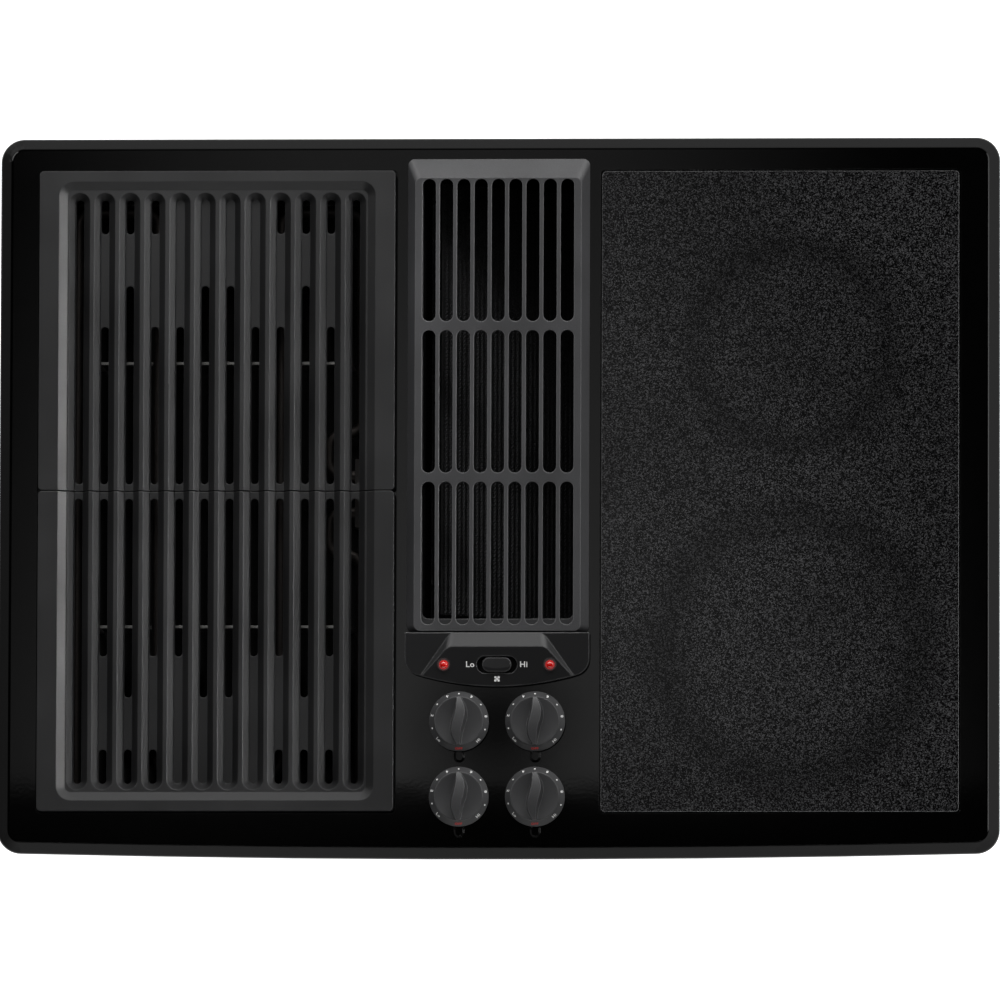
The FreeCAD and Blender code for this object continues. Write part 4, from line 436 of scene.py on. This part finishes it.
top_enamel = porcelain_enamel("porcelain_enamel", "#030303", roughness=0.07, peel_depth_mm=0.006)
basin_enamel = porcelain_enamel("basin_enamel", "#0d0d0e", roughness=0.14, peel_depth_mm=0.008)
# The last colour given to each casting and plastic is the paler colour of the painted highlight along
# its edges
finishes = {
    "top_enamel": top_enamel,
    "basin_enamel": basin_enamel,
    "gasket_foam": moulded_plastic("foam_tape", "#1a1a1a", "#242424", roughness=0.85,
                                   grain_mm=0.6, grain_depth_mm=0.08, edge_mm=0.3),
    "galvanised_steel": galvanised_sheet(),
    "grate_coating": coated_casting("non_stick_casting", "#080809", "#131314", "#2e2e2f",
                                    roughness=0.5, grain_mm=1.0, edge_mm=1.0),
    "grille_paint": coated_casting("satin_paint", "#313132", "#3e3e40", "#707071",
                                   roughness=0.4, grain_mm=1.0, edge_mm=1.2),
    "glass_ceramic": speckled_glass_ceramic(),
    # The filter's aluminium is darkened to near black: painted shade for its deep, unlit place under
    # the grille
    "filter_metal": drawn_metal("aluminium_painted_shade", "#202021", roughness=0.28, streak_mm=0.8),
    "console_plastic": moulded_plastic("console_plastic", "#0f0f10", "#626263", roughness=0.4,
                                       grain_mm=0.5, grain_depth_mm=0.01, edge_mm=1.4),
    "knob_plastic": moulded_plastic("knob_plastic", "#363637", "#666667", roughness=0.4,
                                    grain_mm=0.5, grain_depth_mm=0.01, edge_mm=0.8),
    "lens_red": signal_red(),
    "switch_plastic": moulded_plastic("phenolic", "#2a2826", "#3a3836", roughness=0.5,
                                      grain_mm=0.6, grain_depth_mm=0.02, edge_mm=0.4),
    "duct_enamel": basin_enamel,
    "socket_ceramic": pressed_fibre("dark_steatite", "#1f1b18", "#2a2521", roughness=0.5, fleck_mm=3),
    "element_sheath": drawn_metal("heat_stained_tube", "#4a4644", roughness=0.5, streak_mm=4),
    "strap_steel": drawn_metal("stainless_strip", "#b9b8b5", roughness=0.3, streak_mm=2),
    "heater_fibre": pressed_fibre("ceramic_fibre", "#d6d0c2", "#e7e2d6", roughness=0.85, fleck_mm=2),
    # Clear fused quartz: a smooth tube that lets most light through
    "heater_quartz": new_material("quartz", "#e8e6e2", roughness=0.1, IOR=1.46,
                                  Transmission_Weight=0.8)[0],
    "plated_steel": drawn_metal("zinc_plate", "#b7b5ad", roughness=0.28, streak_mm=2),
    "wheel_steel": drawn_metal("formed_sheet", "#a9abad", roughness=0.4, streak_mm=3),
    "motor_paint": coated_casting("motor_paint", "#141415", "#1d1d1e", "#3a3a3b",
                                  roughness=0.45, grain_mm=0.8, edge_mm=0.8),
}
for row in frame["record"]["subparts"]:
    for slot in nodes[row["node"]].material_slots:
        slot.material = finishes[row["material_slot"]]

# The filter's core is painted near black: painted shade for the dark it lies in behind its expanded
# metal
for slot in nodes["filter_mesh"].material_slots:
    slot.material = pressed_fibre("mesh_core_painted_shade", "#050505", "#0a0a0a", roughness=0.9, fleck_mm=1.2)

white_ink = ink("white_ink", "#e6e6e4")
red_ink = ink("red_ink", "#c8201c")


def mesh_piece(name, mesh, finish, body):
    """Links a finished mesh as a piece that rides on a body."""
    made = bpy.data.objects.new(name, mesh)
    mesh.materials.clear()
    mesh.materials.append(finish)
    bpy.context.scene.collection.objects.link(made)
    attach(made, body)


def resting_place(node, x, y, up):
    """Frame on the first surface of a node below (x, y): Z along its normal, Y towards up."""
    spot, normal = nodes[node].ray_cast(Vector((x, y, ABOVE_ALL)), Vector((0, 0, -1)))[1:3]
    side = up.cross(normal).normalized()
    up = normal.cross(side)
    return Matrix.Translation(spot) @ Matrix((side, up, normal)).transposed().to_4x4()


def word_mesh(text, size):
    """Flat word, centred, as a closed mesh as thick as its ink."""
    curve = bpy.data.curves.new("word", "FONT")
    curve.body = text
    curve.size = size
    curve.align_x = "CENTER"
    curve.align_y = "CENTER"
    curve.extrude = INK_THICKNESS / 2
    curve.offset = INK_BOLD
    curve.space_character = LETTER_SPACING
    curve.resolution_u = LETTER_STEPS
    holder = bpy.data.objects.new("word", curve)
    bpy.context.scene.collection.objects.link(holder)
    bpy.context.view_layer.update()
    depsgraph = bpy.context.evaluated_depsgraph_get()
    mesh = bpy.data.meshes.new_from_object(holder.evaluated_get(depsgraph))
    bpy.data.objects.remove(holder)
    bpy.data.curves.remove(curve)
    return mesh


def dot(form, radius, place):
    """Adds a round dot as thick as its ink."""
    bmesh.ops.create_cone(form, cap_ends=True, segments=DOT_SIDES, radius1=radius, radius2=radius,
                          depth=INK_THICKNESS, matrix=place)


def knob_legends(name):
    """Numbers and dots round a knob's skirt, with their tops towards its middle."""
    knob = f"{name}_knob"
    low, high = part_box(knob)
    middle = (low + high) / 2

    def place(degrees):
        angle = math.radians(degrees)
        out = Vector((math.cos(angle), math.sin(angle), 0))
        spot = middle + out * KNOB_LEGEND_RADIUS
        return resting_place(knob, spot.x, spot.y, -out)

    form = bmesh.new()
    for text, degrees in KNOB_NUMBERS:
        mesh = word_mesh(text, KNOB_LETTER)
        mesh.transform(place(degrees))
        form.from_mesh(mesh)
    for degrees in KNOB_DOTS:
        dot(form, KNOB_DOT_RADIUS, place(degrees))
    mesh = bpy.data.meshes.new(f"{name}_numbers")
    form.to_mesh(mesh)
    form.free()
    mesh_piece(f"{name}_numbers", mesh, white_ink, f"{name}_dial")
    off = word_mesh("OFF", KNOB_WORD)
    off.transform(place(KNOB_OFF))
    mesh_piece(f"{name}_off_word", off, red_ink, f"{name}_dial")


def console_legends():
    """Fan speed words beside the rocker and a fan sign in front of it."""
    low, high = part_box("fan_rocker")
    middle = (low + high) / 2
    back = Vector((0, 1, 0))
    form = bmesh.new()
    for text, side in (("Lo", -1), ("Hi", 1)):
        mesh = word_mesh(text, CONSOLE_LETTER)
        mesh.transform(resting_place("console_shell", side * CONSOLE_WORD_OFFSET, middle.y, back))
        form.from_mesh(mesh)
    sign = resting_place("console_shell", middle.x, middle.y - FAN_SIGN_DROP, back)
    for quarter in range(4):
        turn = Matrix.Rotation(math.radians(45 + 90 * quarter), 4, "Z")
        dot(form, FAN_BLADE_RADIUS, sign @ turn @ Matrix.Translation((FAN_BLADE_OFFSET, 0, 0)))
    dot(form, FAN_HUB_RADIUS, sign)
    mesh = bpy.data.meshes.new("console_words")
    form.to_mesh(mesh)
    form.free()
    mesh_piece("console_words", mesh, white_ink, "chassis")


def expanded_metal():
    """Top sheet of the filter: zigzag strands that meet in diamonds, each leaning out of the sheet."""
    low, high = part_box("filter_frame")
    middle = (low + high) / 2
    slant = ((high.x - low.x) - FILTER_THICK * math.sin(FILTER_TILT)) / math.cos(FILTER_TILT)
    half_pitch = MESH_PITCH_X / 2
    columns = 2 * int((slant / 2 - FILTER_BORDER) / half_pitch)
    rows = int((high.y - low.y - 2 * FILTER_BORDER) / MESH_PITCH_Y)
    strand = bmesh.new()
    bmesh.ops.create_grid(strand, x_segments=columns, y_segments=1, size=0.5)
    bmesh.ops.scale(strand, vec=(columns * half_pitch, MESH_STRAND, 1), verts=strand.verts)
    upper = [vertex for vertex in strand.verts if vertex.co.y > 0]
    bmesh.ops.translate(strand, vec=(0, 0, MESH_LEAN), verts=upper)
    odd = [vertex for vertex in strand.verts if round(vertex.co.x / half_pitch + columns / 2) % 2]
    bmesh.ops.translate(strand, vec=(0, MESH_PITCH_Y - MESH_STRAND, 0), verts=odd)
    mesh = bpy.data.meshes.new("expanded_metal")
    strand.to_mesh(mesh)
    strand.free()
    form = bmesh.new()
    for row in range(rows):
        for phase in (0, 1):
            turned = mesh.copy()
            y = (row - rows / 2 + phase) * MESH_PITCH_Y
            flip = Matrix.Scale(-1, 4, Vector((0, 1, 0))) if phase else Matrix()
            turned.transform(Matrix.Translation((0, y, 0)) @ flip)
            form.from_mesh(turned)
            bpy.data.meshes.remove(turned)
    bmesh.ops.recalc_face_normals(form, faces=form.faces)
    bmesh.ops.solidify(form, geom=form.faces, thickness=MESH_SHEET)
    lifted = (Matrix.Translation(middle) @ Matrix.Rotation(FILTER_TILT, 4, "Y")
              @ Matrix.Translation((0, 0, MESH_LIFT)))
    bmesh.ops.transform(form, matrix=lifted, verts=form.verts)
    form.to_mesh(mesh)
    form.free()
    mesh_piece("expanded_metal", mesh, finishes["filter_metal"], "chassis")


def stage_plane(name, size_x, size_y, place):
    """Flat stage piece whose face looks along its own Z."""
    form = bmesh.new()
    bmesh.ops.create_grid(form, x_segments=1, y_segments=1, size=0.5)
    bmesh.ops.scale(form, vec=(size_x, size_y, 1), verts=form.verts)
    bmesh.ops.transform(form, matrix=place, verts=form.verts)
    mesh = bpy.data.meshes.new(name)
    form.to_mesh(mesh)
    form.free()
    made = bpy.data.objects.new(name, mesh)
    bpy.context.scene.collection.objects.link(made)
    return made


def pale_floor():
    """Floor just under the lowest part: white to the camera, and a share of that to gloss and glass."""
    floor = stage_plane("floor", FLOOR_SIZE, FLOOR_SIZE,
                        Matrix.Translation((0, 0, cad_box[0].z - FLOOR_GAP)))
    paint, tree, shader = new_material("pale_floor", "#d8d8d8", roughness=0.9)
    path = add(tree, "ShaderNodeLightPath")
    mirrored = add(tree, "ShaderNodeMath",
                   {0: path.outputs["Is Glossy Ray"], 1: path.outputs["Is Transmission Ray"]},
                   operation="MAXIMUM")
    share = add(tree, "ShaderNodeMath", {0: mirrored.outputs[0], 1: ROOM_WHITE}, operation="MULTIPLY")
    shown = add(tree, "ShaderNodeMath", {0: path.outputs["Is Camera Ray"], 1: share.outputs[0]},
                operation="MAXIMUM")
    shader.inputs["Emission Color"].default_value = WHITE
    tree.links.new(shown.outputs[0], shader.inputs["Emission Strength"])
    floor.data.materials.append(paint)


def studio_room():
    """Room that is pale near the horizon, dark above and darker to the left; the camera sees white."""
    world = bpy.data.worlds.new("studio")
    world.use_nodes = True
    bpy.context.scene.world = world
    tree = world.node_tree
    direction = add(tree, "ShaderNodeSeparateXYZ",
                    {"Vector": add(tree, "ShaderNodeTexCoord").outputs["Generated"]})
    wall = add(tree, "ShaderNodeMapRange",
               {"Value": direction.outputs["Z"], "From Min": WALL_TOP, "From Max": CEILING_START,
                "To Min": ROOM_WHITE, "To Max": CEILING_GREY}, interpolation_type="SMOOTHSTEP")
    left = add(tree, "ShaderNodeMapRange",
               {"Value": direction.outputs["X"], "From Min": ROOM_LEFT_X, "From Max": 0.0,
                "To Min": ROOM_LEFT_SHARE})
    room = add(tree, "ShaderNodeMath", {0: wall.outputs[0], 1: left.outputs[0]}, operation="MULTIPLY")
    camera_ray = add(tree, "ShaderNodeLightPath").outputs["Is Camera Ray"]
    strength = add(tree, "ShaderNodeMath", {0: room.outputs[0], 1: camera_ray}, operation="MAXIMUM")
    background = tree.nodes["Background"]
    background.inputs["Color"].default_value = WHITE
    tree.links.new(strength.outputs[0], background.inputs["Strength"])


def ceiling_panel():
    """Panel that the deck mirrors: brightest over the middle, and ending short of the front edge."""
    low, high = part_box("main_top")
    lean = Vector((-math.tan(CAMERA_RIGHT), math.tan(CAMERA_FORWARD), 1)) * PANEL_HEIGHT
    front = low.y + PANEL_FRONT_GAP
    middle = Vector((PANEL_CENTRE_X, (front + high.y) / 2 + PANEL_BACK_RUN / 2, high.z)) + lean
    panel = stage_plane("ceiling_panel", 2 * PANEL_FRONT_HALF, high.y - front + PANEL_BACK_RUN,
                        Matrix.Translation(middle) @ Matrix.Rotation(math.pi, 4, "X"))
    panel.visible_camera = False
    panel.visible_shadow = False
    paint, tree, shader = new_material("panel_cloth", "#000000", roughness=1.0)
    # Places on the panel are those of the deck that mirrors them
    place = add(tree, "ShaderNodeTexCoord").outputs["Object"]
    mirrored = add(tree, "ShaderNodeVectorMath", {0: place, 1: tuple(lean)},
                   operation="SUBTRACT").outputs["Vector"]
    spread = add(tree, "ShaderNodeSeparateXYZ", {"Vector": mirrored})
    forward = add(tree, "ShaderNodeMapRange",
                  {"Value": spread.outputs["Y"], "From Min": high.y, "From Max": low.y})
    half = add(tree, "ShaderNodeMix",
               {"Factor": forward.outputs[0], "A": PANEL_BACK_HALF, "B": PANEL_FRONT_HALF})
    offset = add(tree, "ShaderNodeMath", {0: spread.outputs["X"], 1: PANEL_CENTRE_X},
                 operation="SUBTRACT")
    share = add(tree, "ShaderNodeMath", {0: offset.outputs[0], 1: half.outputs[0]}, operation="DIVIDE")
    side = add(tree, "ShaderNodeMath", {0: share.outputs[0]}, operation="ABSOLUTE")
    fall = add(tree, "ShaderNodeMapRange",
               {"Value": side.outputs[0], "From Min": PANEL_PLATEAU, "From Max": 1.0,
                "To Min": 1.0, "To Max": 0.0}, interpolation_type="SMOOTHSTEP")
    # A dark place over the knobs, where the deck mirrors the camera
    near = add(tree, "ShaderNodeVectorMath", {0: mirrored, 1: (0, PANEL_SPOT_Y, high.z)},
               operation="DISTANCE")
    spot = add(tree, "ShaderNodeMapRange",
               {"Value": near.outputs["Value"], "From Max": PANEL_SPOT, "To Min": PANEL_SPOT_SHARE},
               interpolation_type="SMOOTHSTEP")
    grey = add(tree, "ShaderNodeMix",
               {"Factor": forward.outputs[0], "A": PANEL_BACK_GREY, "B": PANEL_FRONT_GREY})
    shaped = add(tree, "ShaderNodeMath", {0: fall.outputs[0], 1: spot.outputs[0]}, operation="MULTIPLY")
    bright = add(tree, "ShaderNodeMath", {0: shaped.outputs[0], 1: grey.outputs[0]},
                 operation="MULTIPLY")
    shader.inputs["Emission Color"].default_value = WHITE
    tree.links.new(bright.outputs[0], shader.inputs["Emission Strength"])
    panel.data.materials.append(paint)


def softbox(name, place, width, height, watts, target=(0, 0, 0), spread=180):
    """Rectangular area lamp that faces a point; a smaller spread is a grid in front of it."""
    lamp = bpy.data.lights.new(name, "AREA")
    lamp.shape = "RECTANGLE"
    lamp.size = width
    lamp.size_y = height
    lamp.energy = watts
    lamp.spread = math.radians(spread)
    made = bpy.data.objects.new(name, lamp)
    made.location = place
    made.rotation_euler = (Vector(target) - Vector(place)).to_track_quat("-Z", "Y").to_euler()
    made.visible_camera = False
    bpy.context.scene.collection.objects.link(made)
    return made


def studio_lamps():
    """Softboxes round the cooktop, and a narrow strip that rakes the grates alone."""
    # The rear lamps shape the castings; polished enamel and glass would only mirror them as glare
    mirrors = bpy.data.collections.new("mirrors")
    for name in MIRRORS:
        mirrors.objects.link(nodes[name])
    for entry in mirrors.collection_objects:
        entry.light_linking.link_state = "EXCLUDE"
    for lamp in REAR_LAMPS:
        softbox(*lamp).light_linking.receiver_collection = mirrors
    for lamp in OTHER_LAMPS:
        softbox(*lamp)
    low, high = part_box("rear_grill_grate")
    grates = Vector(((low.x + high.x) / 2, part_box("front_grill_grate")[1].y, high.z))
    away = Vector((math.cos(STRIP_ELEVATION), 0, math.sin(STRIP_ELEVATION))) * STRIP_DISTANCE
    softbox("grate_strip", grates + away, STRIP_WIDTH, STRIP_HEIGHT, STRIP_WATTS, grates, STRIP_SPREAD)


def photo_camera():
    """Camera far above the deck, where one pixel of the image is PIXEL wide."""
    camera = bpy.data.cameras.new("camera")
    camera.sensor_width = SENSOR
    camera.lens = SENSOR * CAMERA_DISTANCE / (IMAGE_PIXELS * PIXEL)
    camera.clip_end = CAMERA_REACH
    viewer = bpy.data.objects.new("camera", camera)
    away = Vector((math.tan(CAMERA_RIGHT), -math.tan(CAMERA_FORWARD), 1)).normalized()
    aim = Vector((AIM_X, AIM_Y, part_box("main_top")[1].z))
    right = Vector((0, 1, 0)).cross(away).normalized()
    turn = Matrix((right, away.cross(right), away)).transposed().to_4x4()
    roll = Matrix.Rotation(CAMERA_ROLL, 4, "Z")
    viewer.matrix_world = Matrix.Translation(aim + away * CAMERA_DISTANCE) @ turn @ roll
    bpy.context.scene.collection.objects.link(viewer)
    bpy.context.scene.camera = viewer


for name in KNOBS:
    knob_legends(name)
console_legends()
expanded_metal()

pale_floor()
studio_room()
ceiling_panel()
studio_lamps()
photo_camera()
bpy.context.scene.view_settings.view_transform = "Standard"
